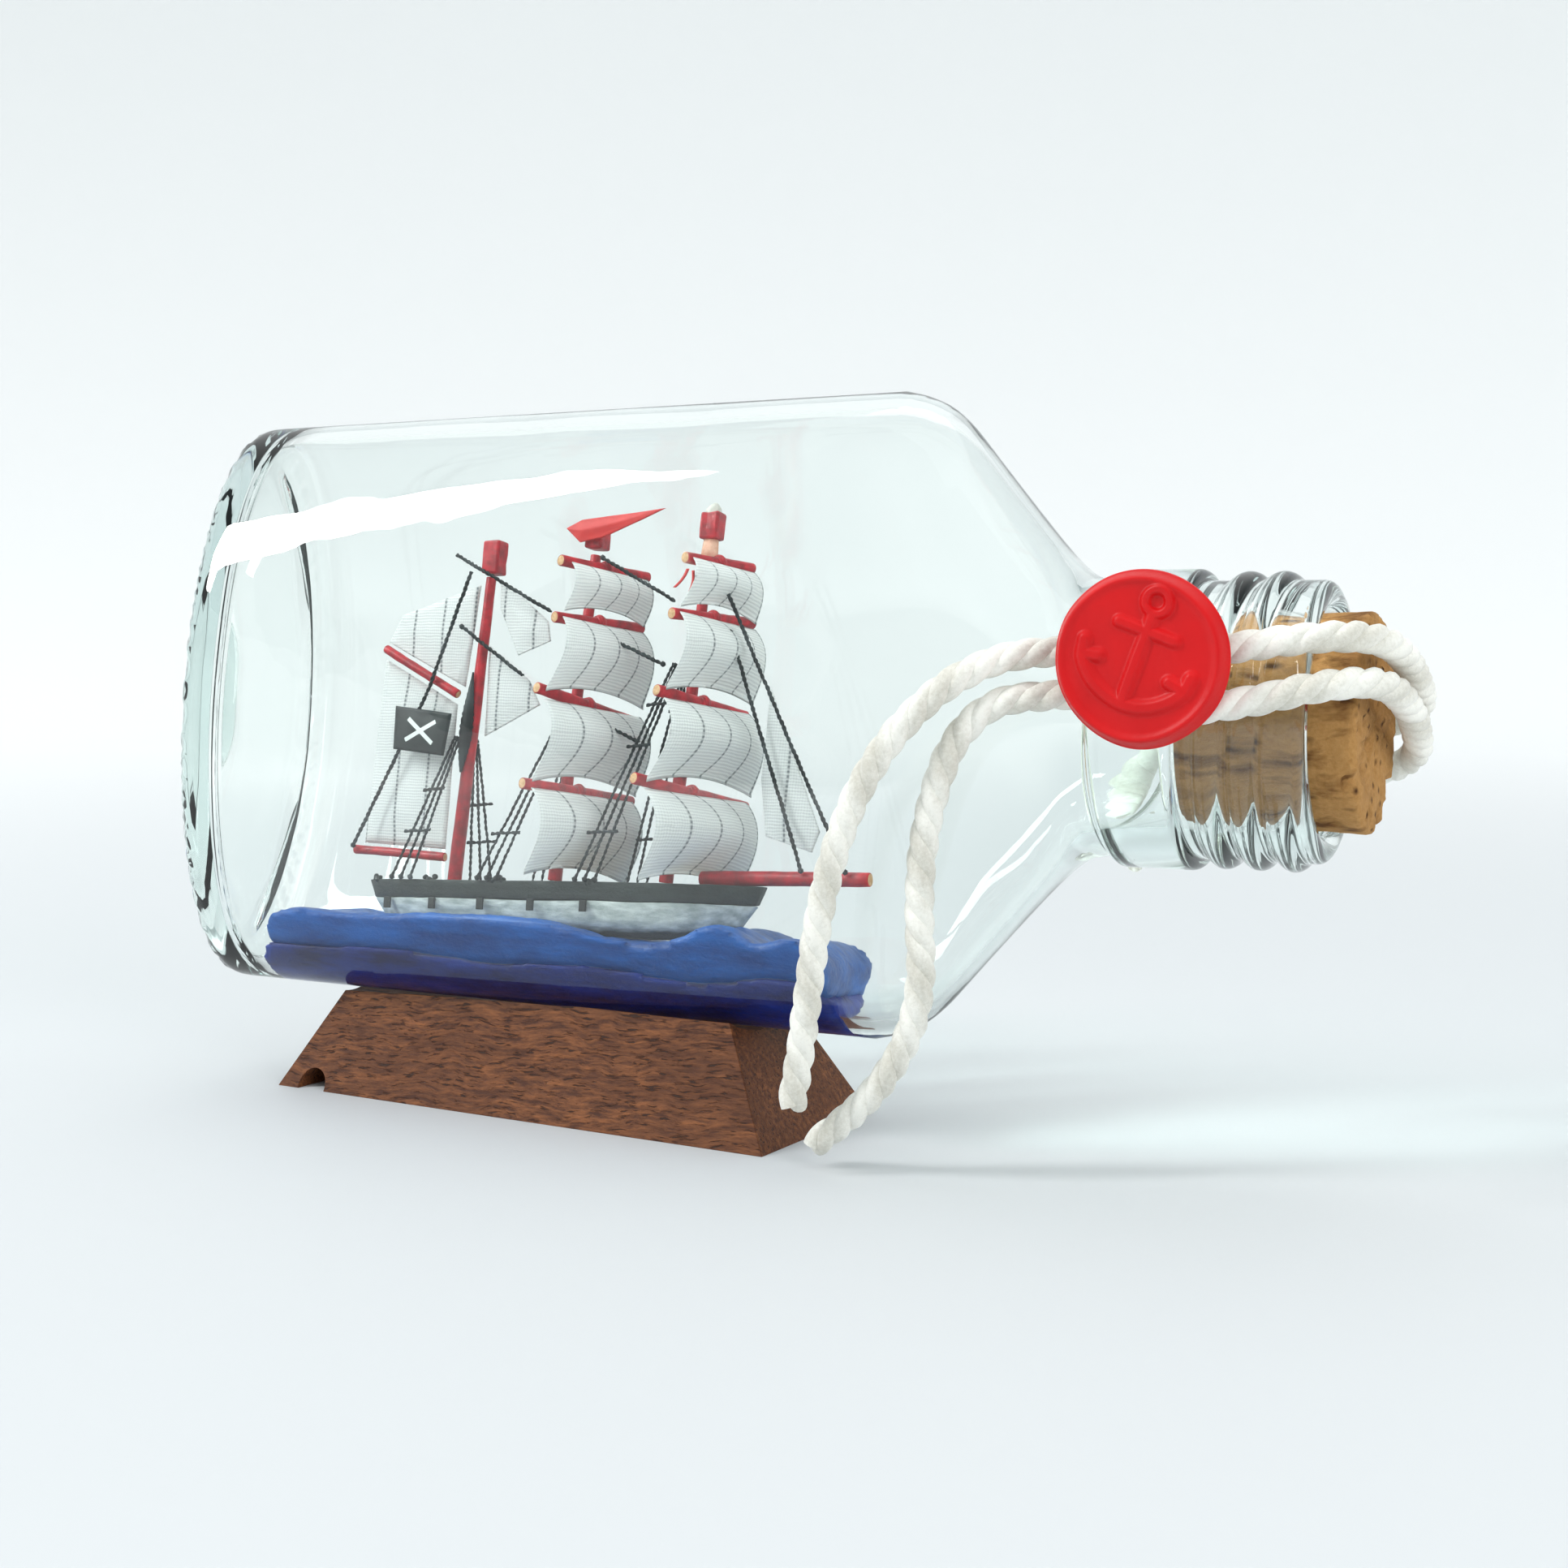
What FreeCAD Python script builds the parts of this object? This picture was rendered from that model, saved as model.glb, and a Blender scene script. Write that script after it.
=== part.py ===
import FreeCAD, Part
import math
import os

import Sketcher
from FreeCAD import Placement, Rotation, Vector

# Ship in a bottle.  Millimetres.  The origin is the middle of the stand's underside,
# +Z is up and +X runs along the bottle from its base to its cork.

doc = FreeCAD.newDocument("ShipInBottle")
sheet = doc.addObject("Spreadsheet::Sheet", "Dims")

DIMENSIONS = [
    ("standLength", 63.7, "stand, underside"),
    ("standWidth", 22.2, "stand, underside"),
    ("standTopLength", 50.2, "stand, top face"),
    ("standTopWidth", 12.4, "stand, top face"),
    ("standHeight", 11.7, "stand"),
    ("standYaw", -4.8, "how far the stand is turned from the bottle, degrees"),
    ("coveRadius", 9.0, "groove that the bottle lies in"),
    ("coveDepth", 1.3, "groove, below the top face"),
    ("coveShift", -1.4, "groove's middle from the stand's middle"),
    ("seatGap", 0.3, "bottle to stand, all over the seat"),
    ("wormRadius", 1.9, "small arched notch under the front edge"),
    ("wormPlace", -27.0, "notch from the stand's middle"),
    ("axisHeight", 42.85, "bottle's axis above the table"),
    ("baseOffset", -43.3, "outer face of the bottle's base from the origin"),
    ("bottleLean", 7.3, "bottle leaning back about its axis, degrees"),
    ("bodyWide", 32.1, "half the body's broad side"),
    ("bodyTaper", 0.35, "body wider at the shoulder than at mid length"),
    ("bodyDeep", 12.6, "half the body's narrow side"),
    ("bodyLength", 82.2, "base to the start of the shoulder"),
    ("neckStart", 103.6, "base to the bottom of the neck"),
    ("neckRadius", 13.1, "plain neck"),
    ("neckStep", 0.06, "small step where the shoulder meets the neck, and the same inside"),
    ("wall", 1.8, "glass wall"),
    ("floorThick", 3.6, "glass at the base"),
    ("boreRadius", 10.35, "neck bore"),
    ("collarStart", 106.4, "base to the collar"),
    ("collarRadius", 14.1, "collar"),
    ("collarLength", 7.6, "collar"),
    ("finishEnd", 125.6, "base to the rim"),
    ("threadRoot", 13.0, "threaded finish, between the ridges"),
    ("threadTube", 0.85, "thread ridge"),
    ("threadPitch", 3.18, "thread ridge spacing"),
    ("threadFirst", 116.2, "base to the first ridge"),
    ("corkLength", 16.2, "cork"),
    ("corkInner", 9.6, "cork radius at the end inside the neck"),
    ("corkOuter", 10.22, "cork radius at the open end"),
    ("corkPlace", 70.0, "inner end of the cork from the origin"),
    ("corkChamfer", 0.5, "worn edge of the cork"),
    ("cordRadius", 1.45, "cotton cord"),
    ("sealRadius", 7.9, "wax seal"),
    ("sealThick", 2.3, "wax seal"),
    ("sealFillet", 0.8, "wax seal's rounded rim"),
    ("sealCross", -17.15, "seal's back face from the bottle's middle plane"),
    ("sealBossRadius", 2.6, "wax behind the seal, on the neck"),
    ("sealBossLength", 3.2, "wax behind the seal, on the neck"),
    ("shipLean", 10.0, "ship leaning back about the bottle's axis, degrees"),
    ("hullPitch", 2.2, "bow up, degrees"),
    ("deckLevel", -19.2, "deck at mid ship, from the bottle's axis"),
    ("mastRadius", 0.8, "lower masts"),
    ("mastTipRadius", 0.55, "mast heads"),
    ("yardRadius", 0.62, "yards"),
    ("bowspritRadius", 0.8, "bowsprit"),
    ("bowspritLength", 19.3, "bowsprit"),
    ("sparRadius", 0.5, "gaff and boom"),
    ("gaffLength", 11.6, "gaff"),
    ("boomLength", 12.2, "boom"),
    ("brace", 18.0, "how far the yards are braced round, degrees"),
    ("sailThick", 0.3, "sail cloth, stiffened"),
    ("threadRadius", 0.2, "rigging thread"),
    ("shroudRadius", 0.15, "shroud thread"),
    ("barRadius", 0.18, "ratline bars"),
    ("capSize", 2.1, "blocks at the mastheads"),
]

for row, (alias, value, note) in enumerate(DIMENSIONS, 1):
    sheet.set("A%d" % row, note)
    sheet.set("B%d" % row, str(value))
    sheet.setAlias("B%d" % row, alias)
doc.recompute()


def dim(alias):
    return float(sheet.get(alias))


def bind(obj, **sizes):
    for prop, expression in sizes.items():
        obj.setExpression(prop, expression)


parts = []


def keep(obj, label, placement=None):
    """Name a finished sub-part, put it in its place and list it for export."""
    obj.Label = label
    if placement is not None:
        obj.Placement = placement
    parts.append(obj)
    return obj


def plane(body, role):
    return [f for f in body.Origin.OriginFeatures if f.Role == role][0]


def sketch_on(body, role, name, height=None):
    sketch = body.newObject("Sketcher::SketchObject", name)
    sketch.AttachmentSupport = (plane(body, role), [""])
    sketch.MapMode = "FlatFace"
    if height:
        sketch.setExpression("AttachmentOffset.Base.z", height)
    return sketch


def rectangle(sketch, wide, high):
    """A rectangle centred on the sketch's origin, its two sizes taken from the sheet."""
    x, y = dim(wide) / 2, dim(high) / 2
    corners = [Vector(-x, -y, 0), Vector(x, -y, 0), Vector(x, y, 0), Vector(-x, y, 0)]
    for k in range(4):
        sketch.addGeometry(Part.LineSegment(corners[k], corners[(k + 1) % 4]), False)
    for k in range(4):
        sketch.addConstraint(Sketcher.Constraint("Coincident", k, 2, (k + 1) % 4, 1))
    for kind, line in (("Horizontal", 0), ("Horizontal", 2), ("Vertical", 1), ("Vertical", 3)):
        sketch.addConstraint(Sketcher.Constraint(kind, line))
    sketch.addConstraint(Sketcher.Constraint("Symmetric", 0, 1, 1, 2, -1, 1))
    across = sketch.addConstraint(Sketcher.Constraint("DistanceX", 0, 1, 0, 2, 2 * x))
    along = sketch.addConstraint(Sketcher.Constraint("DistanceY", 1, 1, 1, 2, 2 * y))
    sketch.setExpression("Constraints[%d]" % across, "Dims." + wide)
    sketch.setExpression("Constraints[%d]" % along, "Dims." + high)


# ---------------------------------------------------------------- frames

bottlePlace = Placement(
    Vector(dim("baseOffset"), 0, dim("axisHeight")),
    Rotation(Vector(1, 0, 0), -dim("bottleLean")),
)
shipPlace = Placement(
    Vector(0, 0, dim("axisHeight")),
    Rotation(Vector(1, 0, 0), -dim("shipLean")),
)
hullPlace = shipPlace.multiply(
    Placement(
        Vector(0, 0, 0),
        Rotation(Vector(0, 1, 0), -dim("hullPitch")),
        Vector(2, 0, dim("deckLevel")),
    )
)


# ---------------------------------------------------------------- stand

def make_stand():
    body = doc.addObject("PartDesign::Body", "Stand")
    foot = sketch_on(body, "XY_Plane", "StandFoot")
    rectangle(foot, "standLength", "standWidth")
    top = sketch_on(body, "XY_Plane", "StandTop", "Dims.standHeight")
    rectangle(top, "standTopLength", "standTopWidth")
    doc.recompute()
    block = body.newObject("PartDesign::AdditiveLoft", "StandBlock")
    block.Profile = foot
    block.Sections = [top]
    block.Ruled = True
    doc.recompute()
    cove = sketch_on(body, "YZ_Plane", "StandCove")
    radius = dim("coveRadius")
    middle = dim("standHeight") - dim("coveDepth") + radius
    ring = cove.addGeometry(Part.Circle(Vector(dim("coveShift"), middle, 0), Vector(0, 0, 1), radius))
    size = cove.addConstraint(Sketcher.Constraint("Radius", ring, radius))
    cove.setExpression("Constraints[%d]" % size, "Dims.coveRadius")
    groove = body.newObject("PartDesign::Pocket", "StandGroove")
    groove.Profile = cove
    groove.Type = "ThroughAll"
    groove.Midplane = True
    doc.recompute()
    worm = sketch_on(body, "XZ_Plane", "StandNotch")
    hole = worm.addGeometry(Part.Circle(Vector(dim("wormPlace"), 0.4, 0), Vector(0, 0, 1), dim("wormRadius")))
    size = worm.addConstraint(Sketcher.Constraint("Radius", hole, dim("wormRadius")))
    worm.setExpression("Constraints[%d]" % size, "Dims.wormRadius")
    notch = body.newObject("PartDesign::Pocket", "StandNotchCut")
    notch.Profile = worm
    notch.Type = "ThroughAll"
    doc.recompute()
    cut_at = [v.Y for v in notch.Shape.Vertexes if abs(v.X - dim("wormPlace")) < 3 and v.Z < 3]
    if max(cut_at) > 1:                        # the notch belongs to the front edge only
        notch.Reversed = True
        doc.recompute()
    print("stand %.1f mm3, %.1f before its notch" % (notch.Shape.Volume, groove.Shape.Volume))
    body.Placement = Placement(Vector(0, 0, 0), Rotation(Vector(0, 0, 1), dim("standYaw")))
    hull = loft("SeatSkin", body_ovals("Seat", "(0 - Dims.seatGap)", "0 - Dims.seatGap", "3.4"))
    hull.Placement = bottlePlace
    seat = doc.addObject("Part::Cut", "StandSeat")
    seat.Base = body
    seat.Tool = hull
    doc.recompute()
    keep(seat, "stand")


# ---------------------------------------------------------------- bottle

UPRIGHT = Rotation(Vector(0, 1, 0), -90)      # an ellipse's long axis up, its normal along the bottle


def oval(name, along, wide, deep):
    """One oval of the bottle's wall; its three sizes are expressions over the sheet."""
    ring = doc.addObject("Part::Ellipse", name)
    ring.Placement = Placement(Vector(0, 0, 0), UPRIGHT)
    bind(ring, MajorRadius=wide, MinorRadius=deep)
    ring.setExpression("Placement.Base.x", along)
    return ring


def loft(name, ovals):
    skin = doc.addObject("Part::Loft", name)
    skin.Sections = ovals
    skin.Solid = True
    skin.Ruled = False
    return skin


def rod(name, radius, length, along):
    """A round length on the bottle's axis, starting at a given place."""
    bar = doc.addObject("Part::Cylinder", name)
    bar.Placement = Placement(Vector(0, 0, 0), Rotation(Vector(0, 1, 0), 90))
    bind(bar, Radius=radius, Height=length)
    bar.setExpression("Placement.Base.x", along)
    return bar


# The shoulder falls from the broad body to the round neck: share of the way along it, share
# of the drop in half width, and share of the change in half depth.
SHOULDER = [(0.0, 0.0, 0.0), (0.12, 0.03, 0.0), (0.27, 0.12, 0.0), (0.5, 0.43, 0.1),
            (0.74, 0.745, 0.45), (0.89, 0.93, 0.85), (1.0, 1.0, 1.0)]


def body_ovals(prefix, inset, start, heel):
    """The ovals of a skin that lies inset from the outside, from the base to the neck."""
    wide = "(Dims.bodyWide - %s)" % inset
    deep = "(Dims.bodyDeep - %s)" % inset
    neck = "(Dims.neckRadius + Dims.neckStep - %s)" % inset
    if "wall" in inset:
        neck = "(Dims.boreRadius + Dims.neckStep)"
    ovals = []
    heelSteps = [(0.0, 0.8), (0.12, 0.42), (0.4, 0.13), (1.0, 0.0)]
    for k, (along, drop) in enumerate(heelSteps):
        ovals.append(oval("%sHeel%d" % (prefix, k),
                          "%s + %g * %s" % (start, along, heel),
                          "%s - Dims.bodyTaper - %g * %s" % (wide, drop, heel),
                          "%s - %g * %s" % (deep, drop, heel)))
    for k, along in enumerate((0.35, 0.65, 0.9)):
        ovals.append(oval("%sBody%d" % (prefix, k),
                          "%g * Dims.bodyLength" % along,
                          "%s + Dims.bodyTaper * %g" % (wide, 2 * along - 1),
                          deep))
    for k, (along, fall, round_) in enumerate(SHOULDER):
        ovals.append(oval("%sShoulder%d" % (prefix, k),
                          "Dims.bodyLength + %g * (Dims.neckStart - Dims.bodyLength)" % along,
                          "(%s + Dims.bodyTaper) * %g + %s * %g" % (wide, 1 - fall, neck, fall),
                          "%s * %g + (%s - 0.001) * %g" % (deep, 1 - round_, neck, round_)))
    return ovals


def make_bottle():
    outside = loft("BottleOutside", body_ovals("Outer", "0", "0", "3.4"))
    inside = loft("BottleInside", body_ovals("Inner", "Dims.wall", "Dims.floorThick", "3"))
    neck = rod("Neck", "Dims.neckRadius", "Dims.finishEnd - Dims.neckStart + 0.9", "Dims.neckStart - 1.5")
    collar = rod("Collar", "Dims.collarRadius", "Dims.collarLength", "Dims.collarStart")
    lip = rod("Lip", "Dims.neckRadius - 0.5", "2", "Dims.finishEnd - 2")
    ridges = []
    for k in range(3):
        ridge = doc.addObject("Part::Torus", "ThreadRidge%d" % k)
        ridge.Placement = Placement(Vector(0, 0, 0), Rotation(Vector(0, 1, 0), 90))
        bind(ridge, Radius1="Dims.threadRoot", Radius2="Dims.threadTube")
        ridge.setExpression("Placement.Base.x", "Dims.threadFirst + %d * Dims.threadPitch" % k)
        ridges.append(ridge)
    bore = rod("Bore", "Dims.boreRadius", "Dims.finishEnd - Dims.neckStart + 3.5", "Dims.neckStart - 1.5")
    glass = doc.addObject("Part::MultiFuse", "BottleGlass")
    glass.Shapes = [outside, neck, collar, lip] + ridges
    hollow = doc.addObject("Part::MultiFuse", "BottleHollow")
    hollow.Shapes = [inside, bore]
    bottle = doc.addObject("Part::Cut", "Bottle")
    bottle.Base = glass
    bottle.Tool = hollow
    doc.recompute()
    overshoot = math.pi * dim("boreRadius") ** 2 * 2
    print("bottle holds %.1f ml to the brim" % ((hollow.Shape.Volume - overshoot) / 1000))
    keep(bottle, "bottle", bottlePlace)


# ---------------------------------------------------------------- cork and seal

def make_cork():
    body = doc.addObject("PartDesign::Body", "Cork")
    plug = body.newObject("PartDesign::AdditiveCone", "CorkPlug")
    bind(plug, Radius1="Dims.corkInner", Radius2="Dims.corkOuter", Height="Dims.corkLength")
    doc.recompute()
    rim = body.newObject("PartDesign::Chamfer", "CorkRim")
    edges = [n + 1 for n, e in enumerate(plug.Shape.Edges)
             if e.BoundBox.ZMin > dim("corkLength") - 0.01 and len(e.Vertexes) == 1]
    rim.Base = (plug, ["Edge%d" % n for n in edges])
    rim.setExpression("Size", "Dims.corkChamfer")
    doc.recompute()
    axis = Vector(dim("corkPlace"), 0, dim("axisHeight"))
    keep(body, "cork", Placement(axis, Rotation(Vector(0, 1, 0), 90)))


SEAL_CENTRE = Vector(69.3, 0, 48.85)


def make_seal():
    body = doc.addObject("PartDesign::Body", "Seal")
    disc = body.newObject("PartDesign::AdditiveCylinder", "SealDisc")
    bind(disc, Radius="Dims.sealRadius", Height="Dims.sealThick")
    doc.recompute()
    rim = body.newObject("PartDesign::Fillet", "SealRim")
    edges = [n + 1 for n, e in enumerate(disc.Shape.Edges)
             if e.BoundBox.ZMin > dim("sealThick") - 0.01 and len(e.Vertexes) == 1]
    rim.Base = (disc, ["Edge%d" % n for n in edges])
    rim.setExpression("Radius", "Dims.sealFillet")
    doc.recompute()
    boss = body.newObject("PartDesign::AdditiveCylinder", "SealBoss")
    bind(boss, Radius="Dims.sealBossRadius", Height="Dims.sealBossLength + 0.5")
    boss.setExpression("AttachmentOffset.Base.z", "-Dims.sealBossLength")
    boss.setExpression("AttachmentOffset.Base.x", "-0.9")
    boss.MapMode = "FlatFace"
    boss.AttachmentSupport = (plane(body, "XY_Plane"), [""])
    doc.recompute()
    place = Vector(SEAL_CENTRE.x, dim("sealCross"), SEAL_CENTRE.z)
    keep(body, "wax_seal", Placement(place, Rotation(Vector(1, 0, 0), 90)))


# ---------------------------------------------------------------- cords

def cord_path(points):
    """Straight runs joined by arcs as large as the runs allow, and the least radius."""
    pts = [Vector(*p) for p in points]
    edges = []
    start = pts[0]
    least = 1e9
    for before, corner, after in zip(pts, pts[1:], pts[2:]):
        a, b = before - corner, after - corner
        run = min(a.Length, b.Length)
        half = (math.pi - a.getAngle(b)) / 2
        radius = 0.45 * run / math.tan(half)
        least = min(least, radius)
        reach = 0.45 * run
        a.normalize()
        b.normalize()
        first, last = corner + a * reach, corner + b * reach
        inner = a + b
        inner.normalize()
        centre = corner + inner * (radius / math.cos(half))
        middle = centre - inner * radius
        edges.append(Part.LineSegment(start, first).toShape())
        edges.append(Part.Arc(first, middle, last).toShape())
        start = last
    edges.append(Part.LineSegment(start, pts[-1]).toShape())
    return Part.Wire(edges), least


def make_cord(label, points):
    path, least = cord_path(points)
    radius = dim("cordRadius")
    start = Vector(*points[0])
    heading = Vector(*points[1]) - start
    profile = Part.Wire([Part.Circle(start, heading, radius).toShape()])
    tube = path.makePipeShell([profile], True, True)
    expected = math.pi * radius ** 2 * path.Length
    print("%s: length %.1f mm, least radius %.1f mm, volume %.1f of %.1f mm3"
          % (label, path.Length, least, tube.Volume, expected))
    cord = doc.addObject("Part::Feature", label)
    cord.Shape = tube
    keep(cord, label, Placement())


# From under the seal over the cork's end, along the far side and down behind the neck.
UPPER_LOOP = [(71.6, -14.5, 49.2), (77.0, -14.7, 49.8), (83.2, -13.7, 50.8), (88.0, -9.2, 50.7),
              (89.1, -3.0, 48.8), (89.0, 4.4, 46.4), (88.4, 11.0, 44.0), (84.8, 15.6, 42.0),
              (77.6, 16.2, 41.4), (69.4, 16.2, 41.4), (62.8, 15.8, 40.2), (59.8, 14.9, 35.8),
              (60.6, 11.6, 31.0), (61.8, 7.6, 28.4)]
# The second strand, below the first one, which ends behind the neck.
LOWER_LOOP = [(71.6, -15.6, 44.2), (77.8, -15.8, 45.0), (83.6, -14.5, 46.6), (88.2, -10.2, 47.0),
              (89.2, -4.0, 45.2), (89.1, 3.0, 42.6), (88.4, 9.8, 39.6), (84.4, 15.0, 37.4),
              (77.4, 15.5, 36.8), (70.4, 15.5, 36.8)]
# The two free ends hang from the seal in front of the bottle.
TAIL_OUTER = [(65.4, -14.6, 49.7), (60.6, -14.6, 49.4), (55.8, -16.6, 48.9), (51.4, -18.4, 46.4),
              (47.2, -19.2, 42.4), (43.8, -19.6, 37.4), (41.4, -19.6, 31.8), (39.6, -19.4, 25.6),
              (38.4, -19.0, 18.8), (37.4, -18.6, 12.4), (36.2, -18.2, 6.6)]
TAIL_INNER = [(65.2, -15.4, 45.8), (60.4, -15.3, 45.5), (55.4, -16.2, 45.0), (51.8, -16.8, 41.6),
              (49.8, -16.8, 36.6), (48.6, -16.6, 31.2), (48.2, -16.4, 25.4), (48.6, -16.2, 19.4),
              (47.2, -15.8, 13.6), (44.0, -15.4, 8.6), (40.2, -14.8, 4.8), (36.8, -14.4, 2.2)]


def make_cords():
    make_cord("cord_loop_upper", UPPER_LOOP)
    make_cord("cord_loop_lower", LOWER_LOOP)
    make_cord("cord_tail_outer", TAIL_OUTER)
    make_cord("cord_tail_inner", TAIL_INNER)


# ---------------------------------------------------------------- sea

def spline_prism(points, bottom, half):
    """A block between y = -half and half under a smooth line of (x, z) points."""
    line = [Vector(x, -half, z) for x, z in points]
    curve = Part.BSplineCurve()
    curve.interpolate(line)
    first, last = line[0], line[-1]
    under = [last, Vector(last.x, -half, bottom), Vector(first.x, -half, bottom), first]
    sides = [Part.LineSegment(a, b).toShape() for a, b in zip(under, under[1:])]
    return Part.Face(Part.Wire([curve.toShape()] + sides)).extrude(Vector(0, 2 * half, 0))


# Both layers of putty in the ship's frame, from the base end to the neck end.
DEEP_TOP = [(-35.0, -29.4), (-33.8, -27.6), (-29.0, -26.9), (-18.0, -26.6), (-4.0, -27.2),
            (10.0, -26.8), (24.0, -27.4), (31.6, -26.6), (34.8, -27.8), (36.0, -29.8)]
SWELL_TOP = [(-32.8, -26.4), (-31.6, -24.2), (-25.0, -23.3), (-14.0, -23.0), (-4.0, -22.6), (8.0, -23.4),
             (19.0, -23.8), (24.8, -22.2), (28.4, -23.6), (31.8, -22.8), (34.4, -23.8), (35.4, -26.0)]


def make_sea(hull):
    room = loft("SeaRoom", body_ovals("Sea", "(Dims.wall + 0.15)", "(Dims.floorThick + 0.15)", "3"))
    room.Placement = bottlePlace
    doc.recompute()
    deep = spline_prism(DEEP_TOP, -36, 14)
    deep.Placement = shipPlace
    swell = spline_prism(SWELL_TOP, -36, 14)
    swell.Placement = shipPlace
    lower = doc.addObject("Part::Feature", "sea_deep")
    lower.Shape = room.Shape.common(deep)
    upper = doc.addObject("Part::Feature", "sea_swell")
    upper.Shape = room.Shape.common(swell).cut(deep).cut(hull)
    keep(lower, "sea_deep")
    keep(upper, "sea_swell")
    for sea in (lower, upper):
        print("%s: %d solids, %.1f mm3" % (sea.Label, len(sea.Shape.Solids), sea.Shape.Volume))


# ---------------------------------------------------------------- hull

HULL_OUTLINE = [(-21.2, 2.0), (-18.0, 3.4), (-10.0, 4.3), (2.0, 4.5), (14.0, 4.1), (21.0, 2.9), (26.4, 0.5)]


def waterline(level, grow, raise_):
    """The closed plan outline of the hull at one level, pulled in by a share of its size."""
    mid = 1.0
    port = [Vector(mid + (x - mid) * raise_, y * grow, level) for x, y in HULL_OUTLINE]
    starboard = [Vector(p.x, -p.y, p.z) for p in reversed(port)]
    curve = Part.BSplineCurve()
    curve.interpolate(port)
    other = Part.BSplineCurve()
    other.interpolate(starboard)
    stem = Part.LineSegment(port[-1], starboard[0])
    stern = Part.LineSegment(starboard[-1], port[0])
    return Part.Wire([curve.toShape(), stem.toShape(), other.toShape(), stern.toShape()])


def slab(levels):
    outlines = [waterline(dim("deckLevel") + z, grow, reach) for z, grow, reach in levels]
    return Part.makeLoft(outlines, True, True)


def feature(label, shape, placement):
    piece = doc.addObject("Part::Feature", label)
    piece.Shape = shape
    return keep(piece, label, placement)


def half_beam(x):
    """The hull's half breadth at one place, read between the points of its outline."""
    for (x0, y0), (x1, y1) in zip(HULL_OUTLINE, HULL_OUTLINE[1:]):
        if x0 <= x <= x1:
            return y0 + (y1 - y0) * (x - x0) / (x1 - x0)


def make_hull():
    lower = slab([(-5.2, 0.55, 0.84), (-3.6, 0.86, 0.9), (-1.55, 0.97, 0.965)])
    upper = slab([(-1.5, 0.98, 0.968), (0.4, 1.03, 1.0)])
    well = slab([(-0.5, 0.9, 0.95), (0.7, 0.91, 0.96)])
    deck = slab([(-0.45, 0.86, 0.93), (-0.1, 0.86, 0.93)])
    ports = []
    wide, thick, tall = 0.8, 0.3, 1.2
    for k in range(5):
        for side in (-1, 1):
            x = -17.6 + 6.3 * k
            port = Part.makeBox(wide, thick, tall)
            beside = side * (half_beam(x) + 0.2)
            port.translate(Vector(x - wide / 2, beside - thick / 2, dim("deckLevel") - 1.5 - tall))
            ports.append(port)
    feature("hull_lower", lower, hullPlace)
    feature("hull_bulwark", upper.cut(well), hullPlace)
    feature("hull_deck", deck, hullPlace)
    feature("gun_ports", Part.makeCompound(ports), hullPlace)
    solid = lower.copy()
    solid.Placement = hullPlace
    return solid


# ---------------------------------------------------------------- masts and spars

def ship_rod(label, radius, tip, length, foot, head):
    """A tapered round spar from foot towards head, both points in the ship's frame."""
    spar = doc.addObject("Part::Cone", label)
    bind(spar, Radius1=radius, Radius2=tip, Height=length)
    doc.recompute()
    heading = Vector(*head) - Vector(*foot)
    local = Placement(Vector(*foot), Rotation(Vector(0, 0, 1), heading))
    keep(spar, label, shipPlace.multiply(local))


MASTS = {
    "fore_mast": ((14.7, 0, -18.6), (16.9, 0, 17.7)),
    "main_mast": ((1.2, 0, -19.1), (3.0, 0, 16.9)),
    "mizzen_mast": ((-11.5, 0, -19.6), (-10.0, 0, 14.2)),
}
BRACE = dim("brace")

# Each yard: mast side x, level and half length, and a small tilt of its own in degrees.
YARDS = {
    "fore_royal_yard": (18.1, 15.3, 5.0, 3.5),
    "fore_topgallant_yard": (17.9, 9.5, 6.0, 4.5),
    "fore_topsail_yard": (17.4, 0.6, 6.6, -4.3),
    "fore_course_yard": (16.9, -8.7, 8.2, -4.6),
    "main_royal_yard": (4.3, 14.8, 6.2, 2.0),
    "main_topgallant_yard": (4.1, 9.0, 6.2, 3.3),
    "main_topsail_yard": (3.7, 0.2, 7.4, -6.6),
    "main_course_yard": (3.3, -9.1, 7.8, -0.9),
}


def yard_frame(x, level, tilt):
    """A yard's own frame: Y along the yard, X the way the sail fills."""
    turn = Rotation(Vector(0, 0, 1), -BRACE).multiply(Rotation(Vector(1, 0, 0), tilt))
    return Placement(Vector(x, 0, level), turn)


def make_masts():
    for label, (foot, head) in MASTS.items():
        length = "%.3f" % (Vector(*head) - Vector(*foot)).Length
        ship_rod(label, "Dims.mastRadius", "Dims.mastTipRadius", length, foot, head)
    ship_rod("bowsprit", "Dims.bowspritRadius", "Dims.bowspritRadius * 0.9", "Dims.bowspritLength",
             (18.7, 0, -17.36), (38.0, 0, -16.55))
    ship_rod("gaff", "Dims.sparRadius", "Dims.sparRadius", "Dims.gaffLength",
             (-12.6, -0.6, 1.0), (-23.6, -0.6, 6.3))
    ship_rod("boom", "Dims.sparRadius", "Dims.sparRadius", "Dims.boomLength",
             (-12.7, -0.3, -16.7), (-24.8, -0.3, -16.4))
    for label, (x, level, half, tilt) in YARDS.items():
        yard = doc.addObject("Part::Cylinder", label)
        bind(yard, Radius="Dims.yardRadius", Height="%g" % (2 * half))
        doc.recompute()
        along = Placement(Vector(0, -half, 0), Rotation(Vector(1, 0, 0), -90))
        keep(yard, label, shipPlace.multiply(yard_frame(x, level, tilt)).multiply(along))


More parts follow.
